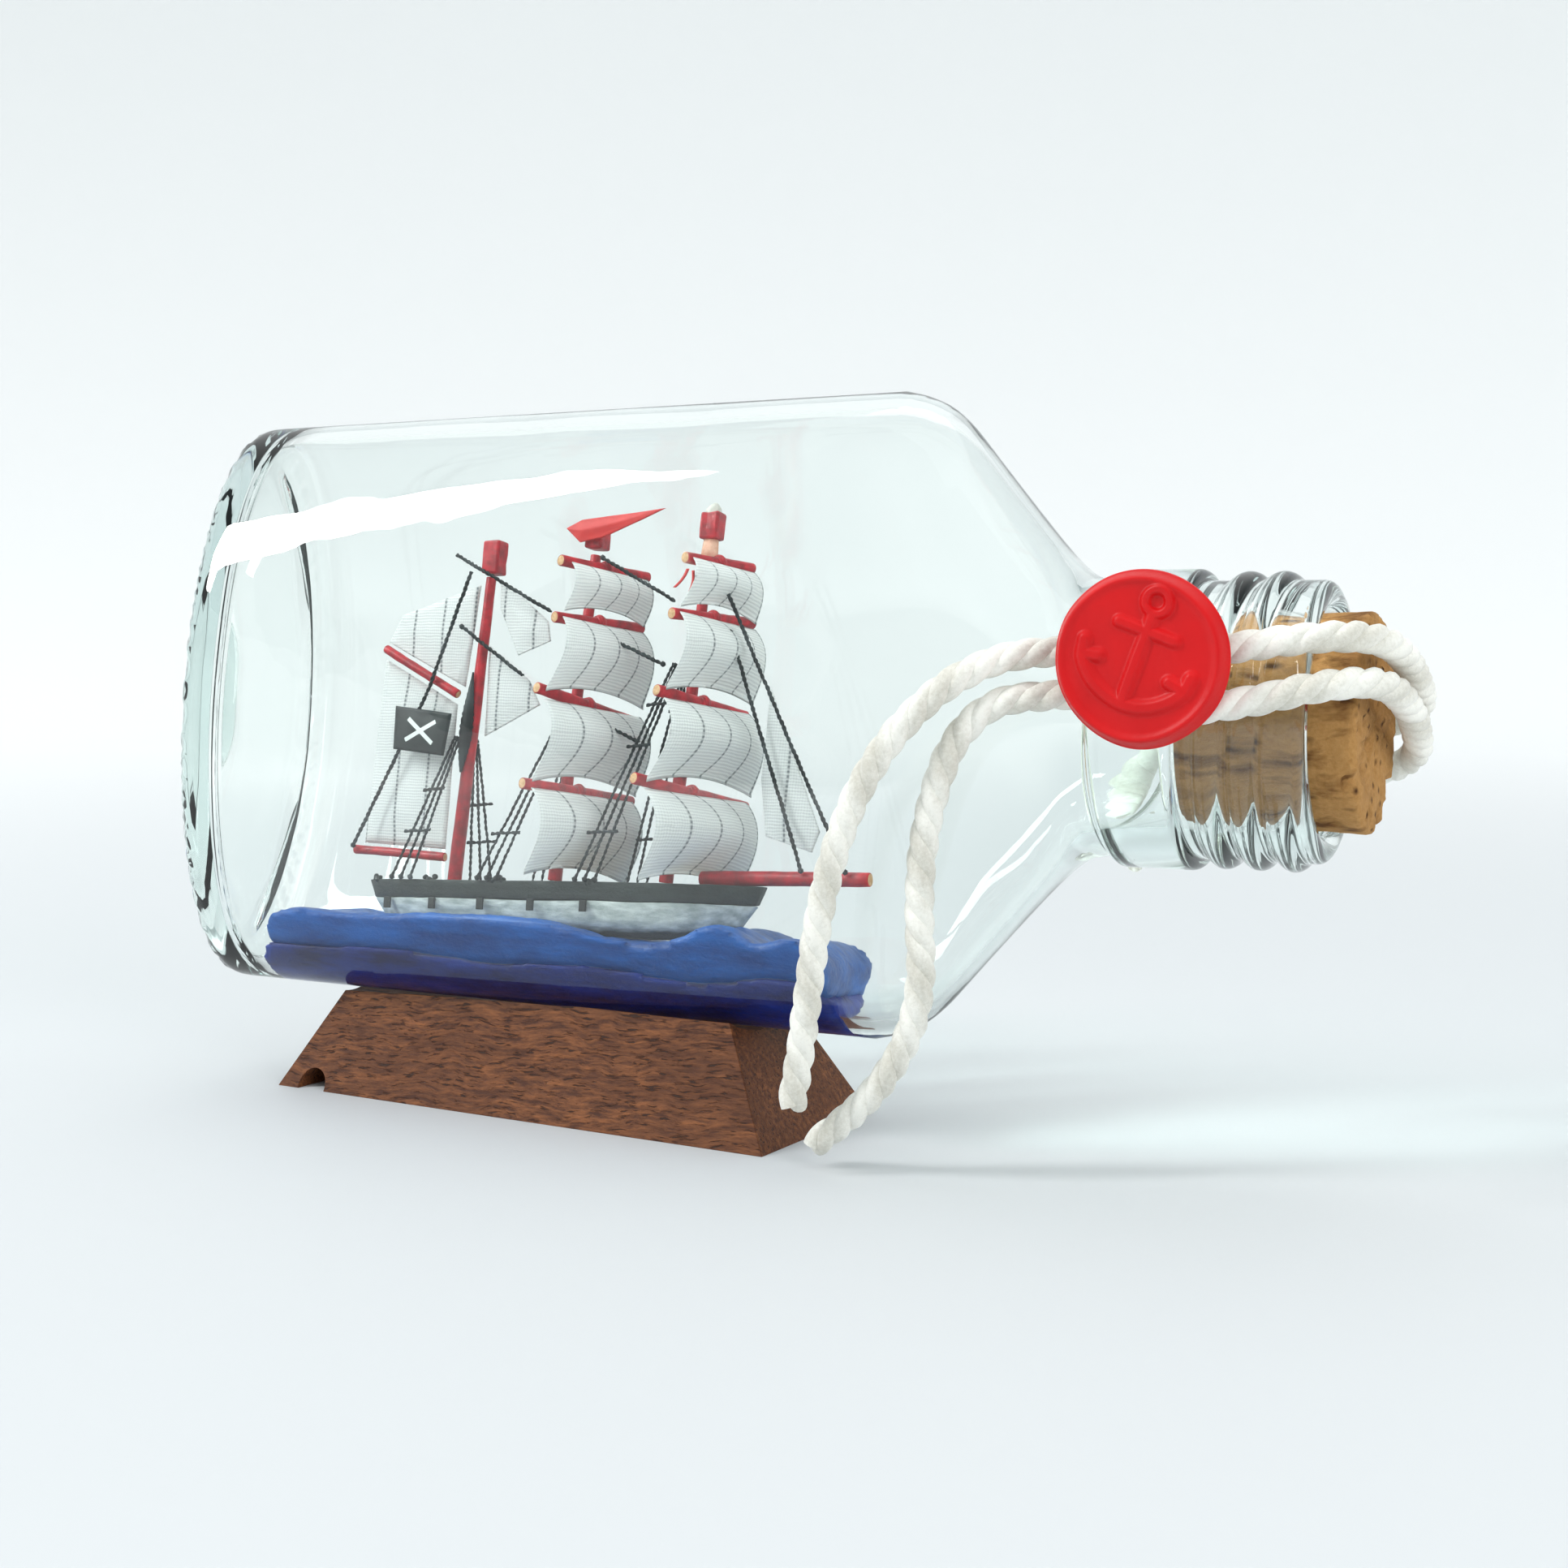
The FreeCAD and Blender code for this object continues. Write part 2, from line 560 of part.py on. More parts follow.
def make_mastheads():
    heads = [("fore_masthead", (17.0, 0, 19.2), 1.35), ("main_masthead", (3.1, 0, 18.0), 1.01),
             ("mizzen_masthead", (-9.8, 0, 16.1), 1.75)]
    for label, centre, tall in heads:
        block = doc.addObject("Part::Box", label)
        bind(block, Length="Dims.capSize", Width="Dims.capSize", Height="Dims.capSize * %g" % tall)
        doc.recompute()
        half = dim("capSize") / 2
        corner = Vector(centre[0] - half, -half, centre[2] - half * tall)
        keep(block, label, shipPlace.multiply(Placement(corner, Rotation())))


# ---------------------------------------------------------------- sails

def square_sail(label, yard, foot_yard, head_half, foot_half, drop, belly):
    """A filled sail below a yard: a patch of cloth through three rows of points, made thick."""
    x, level, _, tilt = YARDS[yard]
    foot_x, foot_level = foot_yard
    height = level - foot_level
    start = dim("yardRadius") + dim("sailThick") + 0.1
    headGap = 0.25
    rows = []
    for t in (0.0, 0.25, 0.5, 0.75, 1.0):
        fill = belly * math.sin(math.pi * min(1.0, t * 1.05) ** 0.85)
        half = head_half + (foot_half - head_half) * t
        lean = (foot_x - x) * t
        sag = drop * t * t
        row = []
        for s in (-1, -0.5, 0, 0.5, 1):
            forward = start + lean + fill * (1 - 0.5 * s * s)
            down = headGap + height * t + sag * (2 * s * s - 1)
            row.append(Vector(forward, s * half, -down))
        rows.append(row)
    patch = Part.BSplineSurface()
    patch.interpolate(rows)
    cloth = patch.toShape().extrude(Vector(-dim("sailThick"), 0, 0))
    feature(label, cloth, shipPlace.multiply(yard_frame(x, level, 0)))


def flat_sail(label, points, cross, thick=None):
    """A fore-and-aft sail or flag: a flat sheet in the ship's middle plane."""
    corners = [Vector(x, cross, z) for x, z in points]
    face = Part.Face(Part.makePolygon(corners + corners[:1]))
    feature(label, face.extrude(Vector(0, thick or dim("sailThick"), 0)), shipPlace)


def make_sails():
    square_sail("fore_royal_sail", "fore_royal_yard", (17.9, 10.6), 4.6, 5.6, 0.5, 2.2)
    square_sail("fore_topgallant_sail", "fore_topgallant_yard", (17.6, 2.0), 5.6, 6.4, 0.5, 3.4)
    square_sail("fore_topsail", "fore_topsail_yard", (17.2, -7.4), 6.3, 7.6, 0.6, 4.0)
    square_sail("fore_course_sail", "fore_course_yard", (17.0, -17.3), 7.4, 7.4, 0.6, 4.2)
    square_sail("main_royal_sail", "main_royal_yard", (4.2, 10.2), 5.4, 5.8, 0.5, 2.2)
    square_sail("main_topgallant_sail", "main_topgallant_yard", (3.8, 1.6), 5.8, 7.0, 0.5, 3.2)
    square_sail("main_topsail", "main_topsail_yard", (3.4, -7.8), 6.9, 7.4, 0.6, 3.8)
    square_sail("main_course_sail", "main_course_yard", (3.2, -17.4), 7.2, 7.2, 0.6, 4.0)
    flat_sail("spanker", [(-13.1, 0.0), (-23.4, 5.0), (-24.0, -15.6), (-13.1, -15.8)], 0.0)
    flat_sail("gaff_topsail", [(-11.6, 13.2), (-21.9, 9.9), (-23.4, 6.9), (-12.5, 2.0)], 0.3)
    flat_sail("mizzen_staysail_upper",
              [(-8.8, 13.4), (-7.7, 13.2), (-2.4, 9.3), (-1.9, 7.2), (-5.9, 5.6), (-8.6, 10.6)], 0.2)
    flat_sail("mizzen_staysail_lower", [(-9.6, 6.6), (-4.2, 2.9), (-2.6, 0.2), (-9.3, -3.4)], 0.2)
    flat_sail("jib", [(25.3, 2.4), (31.9, -12.1), (31.2, -14.2), (25.9, -12.8), (24.9, -7.0)], 0.0)


# ---------------------------------------------------------------- flags

def make_flags():
    thick = 0.25
    flat_sail("pennant", [(0.1, 18.9), (2.0, 19.8), (12.0, 20.9), (4.6, 17.9), (1.9, 17.4)], -1.6, thick)
    flat_sail("flag", [(-19.8, -0.5), (-12.2, -1.3), (-12.8, -5.9), (-19.6, -5.3)], -2.2, thick)
    ribbons = []
    for (x, z), (u, w) in (((14.9, 14.6), (13.5, 12.6)), ((15.6, 14.4), (15.3, 11.9))):
        corners = [Vector(x, -1.1, z), Vector(x + 0.35, -1.1, z),
                   Vector(u + 0.4, -1.1, w), Vector(u, -1.1, w)]
        face = Part.Face(Part.makePolygon(corners + corners[:1]))
        ribbons.append(face.extrude(Vector(0, thick, 0)))
    feature("fore_ribbons", Part.makeCompound(ribbons), shipPlace)


# ---------------------------------------------------------------- rigging

def thread(start, end, radius):
    a, b = Vector(*start), Vector(*end)
    return Part.makeCylinder(radius, (b - a).Length, a, b - a)


def rigging(label, runs, radius):
    feature(label, Part.makeCompound([thread(a, b, dim(radius)) for a, b in runs]), shipPlace)


def rail_level(x):
    """Just above the rail, which rises to the bow with the hull."""
    return dim("deckLevel") + 0.6 + 0.038 * (x - 2)


def shroud_runs(top, feet, side, spread=0.25):
    """Threads from one point on a mast fanned out to the gunwale on one side."""
    return [((top[0] - spread * (len(feet) - 1) / 2 + spread * k, side * 1.05, top[1] - 0.3 * k),
             (foot, side * 4.75, rail_level(foot))) for k, foot in enumerate(feet)]


def bar_runs(top, feet, side, levels):
    """Bars tied across one fan of shrouds, just outside it."""
    runs = []
    base = rail_level(feet[0])
    for level in levels:
        share = (top[1] - level) / (top[1] - base)
        x0 = top[0] + (feet[0] - top[0]) * share - 0.9
        x1 = top[0] + (feet[-1] - top[0]) * share + 0.9
        y = side * (1.05 + 3.7 * share + 0.42)
        runs.append(((x0, y, level - 0.15), (x1, y, level + 0.15)))
    return runs


SHROUDS = {
    "mizzen": [((-11.9, -3.6), (-16.4, -15.2, -14.0), -1, (-9.6, -14.2)),
               ((-10.9, -3.6), (-12.6, -11.2, -9.8), 1, (-10.6, -14.6))],
    "main": [((1.0, -1.6), (-5.4, -4.2, -3.0), -1, (-14.0,)), ((1.0, -1.6), (-4.6, -3.4, -2.2), 1, (-14.0,))],
    "fore": [((14.4, 4.6), (6.6, 7.8, 9.0), -1, (0.2, -4.2, -13.4)),
             ((14.4, 4.6), (7.4, 8.6, 9.8), 1, (0.2, -13.4))],
}


STAYS = {
    "fore_stays": [((18.4, -1.0, 14.8), (35.6, -1.1, -16.2)), ((20.6, -1.0, 7.9), (30.7, -1.1, -16.2))],
    "main_stays": [((4.4, -0.9, 15.9), (13.6, -0.9, 11.2)), ((4.2, -0.9, 8.0), (13.0, -0.9, 4.4)),
                   ((4.0, -0.9, -0.9), (10.8, -0.9, -3.6))],
    "mizzen_stays": [((-14.2, -1.0, 16.4), (-9.4, -1.9, 14.1)), ((-9.4, -1.9, 14.1), (-1.4, -1.0, 10.1)),
                     ((-12.5, -1.4, 8.5), (-4.3, -1.0, 3.2))],
    "backstay": [((-11.8, -1.3, 14.4), (-16.3, -1.5, 1.0)), ((-16.3, -1.5, 1.0), (-24.7, -1.2, -16.2))],
}


def make_rigging():
    bars = []
    for name, fans in SHROUDS.items():
        runs = []
        for top, feet, side, levels in fans:
            runs += shroud_runs(top, feet, side)
            bars += bar_runs(top, feet, side, levels)
        rigging(name + "_shrouds", runs, "shroudRadius")
    rigging("ratline_bars", bars, "barRadius")
    for label, runs in STAYS.items():
        rigging(label, runs, "threadRadius")


make_stand()
make_bottle()
make_cork()
make_seal()
make_cords()
hullSolid = make_hull()
make_sea(hullSolid)
make_masts()
make_mastheads()
make_sails()
make_flags()
make_rigging()
doc.recompute()

bad = [o.Label for o in doc.Objects if "Invalid" in o.State or "Error" in o.State]
if bad:
    raise RuntimeError("not recomputed: " + ", ".join(bad))
labels = [p.Label for p in parts]
if len(set(labels)) != len(labels):
    raise RuntimeError("two sub-parts share a label")
for part in parts:
    if part.Shape.isNull() or not part.Shape.isValid() or part.Shape.Volume <= 0:
        raise RuntimeError("bad shape: " + part.Label)

os.makedirs("parts", exist_ok=True)
for part in parts:
    part.Shape.exportStep("parts/%s.step" % part.Label)
print("%d sub-parts written" % len(parts))
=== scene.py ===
import math
import random

import bmesh
import bpy
from mathutils import Matrix, Quaternion, Vector, noise


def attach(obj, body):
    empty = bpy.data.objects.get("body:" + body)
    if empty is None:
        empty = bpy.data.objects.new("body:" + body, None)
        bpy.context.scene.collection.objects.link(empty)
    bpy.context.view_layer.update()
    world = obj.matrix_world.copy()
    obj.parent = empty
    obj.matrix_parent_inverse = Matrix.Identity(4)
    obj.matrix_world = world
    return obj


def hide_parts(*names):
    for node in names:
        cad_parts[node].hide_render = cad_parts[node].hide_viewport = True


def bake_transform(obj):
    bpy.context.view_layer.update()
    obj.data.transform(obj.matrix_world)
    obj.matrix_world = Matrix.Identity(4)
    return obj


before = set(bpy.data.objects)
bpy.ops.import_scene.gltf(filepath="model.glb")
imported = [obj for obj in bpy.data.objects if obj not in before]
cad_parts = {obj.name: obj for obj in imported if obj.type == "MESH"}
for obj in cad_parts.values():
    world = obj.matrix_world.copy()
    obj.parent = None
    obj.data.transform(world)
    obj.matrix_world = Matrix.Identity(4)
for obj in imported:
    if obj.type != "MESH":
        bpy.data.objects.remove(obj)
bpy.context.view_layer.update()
draw = random.Random(11)
noise.seed_set(11)  # without it noise_vector starts from the clock, and the threads move between runs
mm = 0.001

# Two places of their own: the bottle leans back about its axis, and the ship a little more.
axisHeight = 42.85
bottleLean = 7.3
shipLean = 10
hullRise = 2.2  # degrees, up to the bow
baseEnd = -43.3
bottlePlace = (Matrix.Translation((baseEnd, 0, axisHeight))
               @ Matrix.Rotation(math.radians(-bottleLean), 4, "X"))
shipPlace = Matrix.Translation((0, 0, axisHeight)) @ Matrix.Rotation(math.radians(-shipLean), 4, "X")
hullPivot = Vector((2, 0, -19.2))
hullPlace = (shipPlace @ Matrix.Translation(hullPivot) @ Matrix.Rotation(math.radians(-hullRise), 4, "Y")
             @ Matrix.Translation(-hullPivot))


def linear(code):
    parts = [int(code[k:k + 2], 16) / 255 for k in (1, 3, 5)]
    return [c / 12.92 if c <= 0.04045 else ((c + 0.055) / 1.055) ** 2.4 for c in parts] + [1.0]


def per(size):
    # pattern scale for a feature of that many millimetres
    return 1 / (size * mm)


def addNode(tree, kind, links=None, **settings):
    node = tree.nodes.new(kind)
    for key, value in settings.items():
        setattr(node, key, value)
    for socket, value in (links or {}).items():
        if isinstance(value, bpy.types.NodeSocket):
            tree.links.new(value, node.inputs[socket])
        else:
            node.inputs[socket].default_value = value
    return node


def newMaterial(name):
    material = bpy.data.materials.new(name)
    material.use_nodes = True
    tree = material.node_tree
    return material, tree, tree.nodes["Principled BSDF"]


def bump(tree, shader, height, strength, distance):
    node = addNode(tree, "ShaderNodeBump", {"Height": height, "Strength": strength,
                                            "Distance": distance * mm})
    tree.links.new(node.outputs["Normal"], shader.inputs["Normal"])


def pieceFrom(bm, name, materials, body, replaces=(), place=None, smooth=True):
    # millimetres in the piece's own frame become metres in the object's frame
    matrix = Matrix.Scale(mm, 4) @ (place or Matrix())
    bmesh.ops.transform(bm, matrix=matrix, verts=bm.verts)
    mesh = bpy.data.meshes.new(name)
    bm.to_mesh(mesh)
    bm.free()
    return pieceFromMesh(mesh, name, materials, body, replaces, smooth)


def pieceFromMesh(mesh, name, materials, body, replaces=(), smooth=True):
    if smooth:
        mesh.shade_smooth()
    piece = bpy.data.objects.new(name, mesh)
    bpy.context.scene.collection.objects.link(piece)
    if not mesh.materials:
        for material in materials:
            mesh.materials.append(material)
    if body:
        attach(piece, body)
    if replaces:
        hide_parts(*replaces)
    return piece


def smoothStep(low, high, value):
    share = min(1, max(0, (value - low) / (high - low)))
    return share * share * (3 - 2 * share)


def edgeGap(point, a, b):
    # distance from a point to the line from a to b
    run = b - a
    share = min(1, max(0, (point - a).dot(run) / run.length_squared))
    return (point - (a + run * share)).length


def extruded(bm, edges):
    # the edges pulled out into a new strip: its far edges and their corners
    made = bmesh.ops.extrude_edge_only(bm, edges=edges)["geom"]
    far = [g for g in made if isinstance(g, bmesh.types.BMEdge)]
    return far, [g for g in made if isinstance(g, bmesh.types.BMVert)]


def crossCut(bm, level):
    # a ring of new edges round the piece at that height
    bmesh.ops.bisect_plane(bm, geom=list(bm.verts) + list(bm.edges) + list(bm.faces),
                           plane_co=(0, 0, level), plane_no=(0, 0, 1))


def curveMesh(name, curve):
    # the curve as a mesh; the curve itself is thrown away
    holder = bpy.data.objects.new(name, curve)
    bpy.context.scene.collection.objects.link(holder)
    bpy.context.view_layer.update()
    mesh = bpy.data.meshes.new_from_object(holder.evaluated_get(bpy.context.evaluated_depsgraph_get()))
    bpy.data.objects.remove(holder)
    bpy.data.curves.remove(curve)
    return mesh


def applied(piece):
    # the piece's modifiers made part of its mesh
    bpy.context.view_layer.update()
    shown = piece.evaluated_get(bpy.context.evaluated_depsgraph_get())
    mesh = bpy.data.meshes.new_from_object(shown)
    piece.modifiers.clear()
    piece.data = mesh
    return piece


# near and far are the paper's colours close to the object and far from it; the grey near it is painted shade
stage = {"flat": 700, "rise": 700, "near": "#D0D3D5", "far": "#FFFFFF"}
viewSide = Vector((0.527, -0.85, 0))


def makeStage():
    # a round sweep of paper: flat underneath and in front, rising behind and beside the object
    bm = bmesh.new()
    bmesh.ops.create_circle(bm, cap_ends=True, segments=96, radius=stage["flat"])
    edges = [e for e in bm.edges if e.is_boundary]
    rise = stage["rise"]
    for k in range(1, 13):
        edges, corners = extruded(bm, edges)
        turn = math.pi / 2 * k / 12
        for v in corners:
            away = Vector((v.co.x, v.co.y, 0)).normalized()
            behind = smoothStep(-0.55, -0.1, -away.dot(viewSide))
            v.co = away * (stage["flat"] + rise * math.sin(turn))
            v.co.z = rise * (1 - math.cos(turn)) * behind
    paper, tree, shader = newMaterial("matteBackdropPaper")
    coordinates = addNode(tree, "ShaderNodeTexCoord")
    reach = addNode(tree, "ShaderNodeVectorMath", {0: coordinates.outputs["Object"]}, operation="LENGTH")
    share = addNode(tree, "ShaderNodeMapRange", {"Value": reach.outputs["Value"], "From Min": 0.1,
                                                 "From Max": 0.9},
                    interpolation_type="SMOOTHSTEP")
    # painted shade: the paper is greyer near the object and white far from it
    colour = addNode(tree, "ShaderNodeMix", {0: share.outputs[0], 6: linear(stage["near"]),
                                             7: linear(stage["far"])}, data_type="RGBA")
    tree.links.new(colour.outputs[2], shader.inputs["Base Color"])
    shader.inputs["Roughness"].default_value = 0.6
    shader.inputs["Specular IOR Level"].default_value = 0.3
    bmesh.ops.recalc_face_normals(bm, faces=bm.faces)
    pieceFrom(bm, "floor", [paper], None)


def areaLight(name, place, target, size, power, mirrored=True):
    light = bpy.data.lights.new(name, "AREA")
    light.shape = "RECTANGLE"
    light.size, light.size_y = size
    light.energy = power
    lamp = bpy.data.objects.new(name, light)
    lamp.location = place
    lamp.visible_glossy = mirrored
    lamp.rotation_euler = (Vector(target) - Vector(place)).to_track_quat("-Z", "Y").to_euler()
    bpy.context.scene.collection.objects.link(lamp)


def makeLight():
    world = bpy.data.worlds.new("paleRoom")
    bpy.context.scene.world = world
    world.use_nodes = True
    tree = world.node_tree
    coordinates = addNode(tree, "ShaderNodeTexCoord")
    axes = addNode(tree, "ShaderNodeSeparateXYZ", {0: coordinates.outputs["Generated"]})
    # the room is pale overhead and behind; it is greyer to the sides, which draws the edges of the
    # glass, and in front, so that the glass does not veil what is inside
    across = addNode(tree, "ShaderNodeMath", {0: axes.outputs["X"], 1: 0.9}, operation="MULTIPLY")
    along = addNode(tree, "ShaderNodeMath", {0: axes.outputs["Y"], 1: 0.435}, operation="MULTIPLY")
    side = addNode(tree, "ShaderNodeMath", {0: across.outputs[0], 1: along.outputs[0]}, operation="ADD")
    size = addNode(tree, "ShaderNodeMath", {0: side.outputs[0]}, operation="ABSOLUTE")
    shade = addNode(tree, "ShaderNodeMapRange", {"Value": size.outputs[0], "From Min": 0.42, "From Max": 0.8,
                                                 "To Min": 0.0, "To Max": 1.0},
                    interpolation_type="SMOOTHSTEP")
    facing = addNode(tree, "ShaderNodeVectorMath", {0: coordinates.outputs["Generated"], 1: tuple(viewSide)},
                     operation="DOT_PRODUCT")
    front = addNode(tree, "ShaderNodeMapRange", {"Value": facing.outputs["Value"], "From Min": 0.35,
                                                 "From Max": 0.85}, interpolation_type="SMOOTHSTEP")
    room = addNode(tree, "ShaderNodeMix", {0: shade.outputs[0], 6: linear("#EDF1F2"), 7: linear("#8E9A9C")},
                   data_type="RGBA")
    colour = addNode(tree, "ShaderNodeMix", {0: front.outputs[0], 6: room.outputs[2], 7: linear("#A4AEB0")},
                     data_type="RGBA")
    tree.links.new(colour.outputs[2], tree.nodes["Background"].inputs["Color"])
    tree.nodes["Background"].inputs["Strength"].default_value = 1.2
    areaLight("windowLeft", (-0.575, -0.455, 0.62), (0, 0, 0.04), (0.08, 0.5), 4.6)
    areaLight("softTop", (0.1, 0.15, 0.9), (0, 0, 0.03), (0.9, 0.7), 1.4, mirrored=False)
    areaLight("fillRight", (0.75, -0.35, 0.35), (0, 0, 0.04), (0.4, 0.4), 2.4, mirrored=False)
    areaLight("windowRight", (0.62, -0.5, 0.5), (0.05, 0, 0.05), (0.03, 0.3), 0.25)


viewpoint = {"lens": 48.72, "place": (0.12125, -0.19594, 0.05194), "pitch": 85.653, "turn": 25.789}


def makeCamera():
    data = bpy.data.cameras.new("view")
    data.lens = viewpoint["lens"]
    data.sensor_width = 36
    data.clip_start = 0.01
    camera = bpy.data.objects.new("view", data)
    camera.location = viewpoint["place"]
    camera.rotation_euler = (math.radians(viewpoint["pitch"]), 0, math.radians(viewpoint["turn"]))
    bpy.context.scene.collection.objects.link(camera)
    bpy.context.scene.camera = camera
    bpy.context.scene.view_settings.view_transform = "Standard"


makeStage()
makeLight()
makeCamera()
print("stage, light and camera done")


# The routes are those of the CAD tubes, in millimetres.
cord = {
    "radius": 1.45,
    "strandRadius": 0.88,
    "strandOffset": 0.53,
    "lay": 7.2,
    "step": 0.4,
}
upperLoop = [(71.6, -14.5, 49.2), (77.0, -14.7, 49.8), (83.2, -13.7, 50.8), (88.0, -9.2, 50.7),
             (89.1, -3.0, 48.8), (89.0, 4.4, 46.4), (88.4, 11.0, 44.0), (84.8, 15.6, 42.0),
             (77.6, 16.2, 41.4), (69.4, 16.2, 41.4), (62.8, 15.8, 40.2), (59.8, 14.9, 35.8),
             (60.6, 11.6, 31.0), (61.8, 7.6, 28.4)]
lowerLoop = [(71.6, -15.6, 44.2), (77.8, -15.8, 45.0), (83.6, -14.5, 46.6), (88.2, -10.2, 47.0),
             (89.2, -4.0, 45.2), (89.1, 3.0, 42.6), (88.4, 9.8, 39.6), (84.4, 15.0, 37.4), (77.4, 15.5, 36.8),
             (70.4, 15.5, 36.8)]
outerTail = [(65.4, -14.6, 49.7), (60.6, -14.6, 49.4), (55.8, -16.6, 48.9), (51.4, -18.4, 46.4),
             (47.2, -19.2, 42.4), (43.8, -19.6, 37.4), (41.4, -19.6, 31.8), (39.6, -19.4, 25.6),
             (38.4, -19.0, 18.8), (37.4, -18.6, 12.4), (36.2, -18.2, 6.6)]
innerTail = [(65.2, -15.4, 45.8), (60.4, -15.3, 45.5), (55.4, -16.2, 45.0), (51.8, -16.8, 41.6),
             (49.8, -16.8, 36.6), (48.6, -16.6, 31.2), (48.2, -16.4, 25.4), (48.6, -16.2, 19.4),
             (47.2, -15.8, 13.6), (44.0, -15.4, 8.6), (40.2, -14.8, 4.8), (36.8, -14.4, 2.2)]


def cottonCord():
    # twisted cotton: matt, soft and off-white, its yarns drawn as fine ridges across each strand, their
    # grooves painted darker as shade
    material, tree, shader = newMaterial("twistedCotton")
    uv = addNode(tree, "ShaderNodeUVMap", uv_map="UVMap")
    axes = addNode(tree, "ShaderNodeSeparateXYZ", {0: uv.outputs["UV"]})
    slant = addNode(tree, "ShaderNodeMath", {0: axes.outputs["X"], 1: 5.0, 2: axes.outputs["Y"]},
                    operation="MULTIPLY_ADD")
    coordinates = addNode(tree, "ShaderNodeTexCoord")
    fray = addNode(tree, "ShaderNodeTexNoise", {"Vector": coordinates.outputs["Object"], "Scale": per(0.35),
                                                "Detail": 5.0, "Roughness": 0.7})
    tuft = addNode(tree, "ShaderNodeTexNoise", {"Vector": coordinates.outputs["Object"], "Scale": per(2.6),
                                                "Detail": 3.0})
    wander = addNode(tree, "ShaderNodeMath", {0: tuft.outputs["Fac"], 1: 0.6, 2: slant.outputs[0]},
                     operation="MULTIPLY_ADD")
    turns = addNode(tree, "ShaderNodeMath", {0: wander.outputs[0], 1: 2 * math.pi}, operation="MULTIPLY")
    ridges = addNode(tree, "ShaderNodeMath", {0: turns.outputs[0]}, operation="SINE")
    height = addNode(tree, "ShaderNodeMath", {0: ridges.outputs[0], 1: 0.25, 2: fray.outputs["Fac"]},
                     operation="MULTIPLY_ADD")
    # the colour follows the height: painted shade in the grooves between the yarns, with random tone from the
    # fine fray
    shade = addNode(tree, "ShaderNodeMapRange", {"Value": height.outputs[0], "From Min": 0.15,
                                                 "From Max": 0.75})
    colour = addNode(tree, "ShaderNodeMix", {0: shade.outputs[0], 6: linear("#D3CFC3"), 7: linear("#F6F4EC")},
                     data_type="RGBA")
    tree.links.new(colour.outputs[2], shader.inputs["Base Color"])
    shader.inputs["Roughness"].default_value = 0.95
    shader.inputs["Specular IOR Level"].default_value = 0.2
    shader.inputs["Sheen Weight"].default_value = 0.5
    shader.inputs["Sheen Roughness"].default_value = 0.5
    bump(tree, shader, height.outputs[0], 0.6, 0.12)
    return material


def routeLine(name, points):
    # evenly spaced points, in metres, on the smooth line of a route
    curve = bpy.data.curves.new(name, "CURVE")
    curve.dimensions = "3D"
    curve.resolution_u = 24
    spline = curve.splines.new("NURBS")
    spline.points.add(len(points) - 1)
    for spot, point in zip(spline.points, points):
        spot.co = (*(Vector(point) * mm), 1)
    spline.order_u = 3
    spline.use_endpoint_u = True
    mesh = curveMesh(name, curve)
    raw = [v.co.copy() for v in mesh.vertices]
    bpy.data.meshes.remove(mesh)
    return evenly(raw, cord["step"] * mm)


def evenly(raw, step):
    reach = [0.0]
    for a, b in zip(raw, raw[1:]):
        reach.append(reach[-1] + (b - a).length)
    count = round(reach[-1] / step)
    line = []
    k = 0
    for n in range(count + 1):
        want = reach[-1] * n / count
        while k < len(raw) - 2 and reach[k + 1] < want:
            k += 1
        share = (want - reach[k]) / max(1e-9, reach[k + 1] - reach[k])
        line.append(raw[k].lerp(raw[k + 1], min(1, share)))
    return line


def carriedNormals(line):
    # a sideways direction at each point, carried along without twist
    tangents = [(b - a).normalized() for a, b in zip(line[:-1], line[1:])]
    tangents.append(tangents[-1])
    normal = tangents[0].orthogonal().normalized()
    normals = [normal]
    for before, after in zip(tangents, tangents[1:]):
        normal = before.rotation_difference(after) @ normal
        normal = (normal - after * normal.dot(after)).normalized()
        normals.append(normal)
    return tangents, normals


def tubesMesh(name, lines, resolution=3, caps=True):
    # each line is a list of (point, radius) in metres
    curve = bpy.data.curves.new(name, "CURVE")
    curve.dimensions = "3D"
    curve.bevel_depth = 1.0
    curve.bevel_resolution = resolution
    curve.use_fill_caps = caps
    for line in lines:
        spline = curve.splines.new("POLY")
        spline.points.add(len(line) - 1)
        for spot, (point, radius) in zip(spline.points, line):
            spot.co = (*point, 1)
            spot.radius = radius
    mesh = curveMesh(name, curve)
    mesh.name = name
    return mesh


def makeCord(name, route, material, splay):
    line = routeLine(name + "Route", route)
    tangents, normals = carriedNormals(line)
    step = (line[1] - line[0]).length
    strands = []
    for strand in range(3):
        tube = []
        for k, (point, tangent, normal) in enumerate(zip(line, tangents, normals)):
            turn = 2 * math.pi * (k * step / (cord["lay"] * mm) + strand / 3)
            aside = Quaternion(tangent, -turn) @ normal
            nearEnd = max(0, 1 - (len(line) - 1 - k) * step / (2.2 * mm)) * splay
            swell = 1 + 0.06 * noise.noise(point * 900 + Vector((strand * 9, 0, 0)))
            offset = cord["strandOffset"] * (1 + 0.18 * nearEnd) * mm
            tube.append((point + aside * offset, cord["strandRadius"] * swell * (1 - 0.06 * nearEnd) * mm))
        strands.append(tube)
    return pieceFromMesh(tubesMesh(name, strands, resolution=4), name, [material], None), line


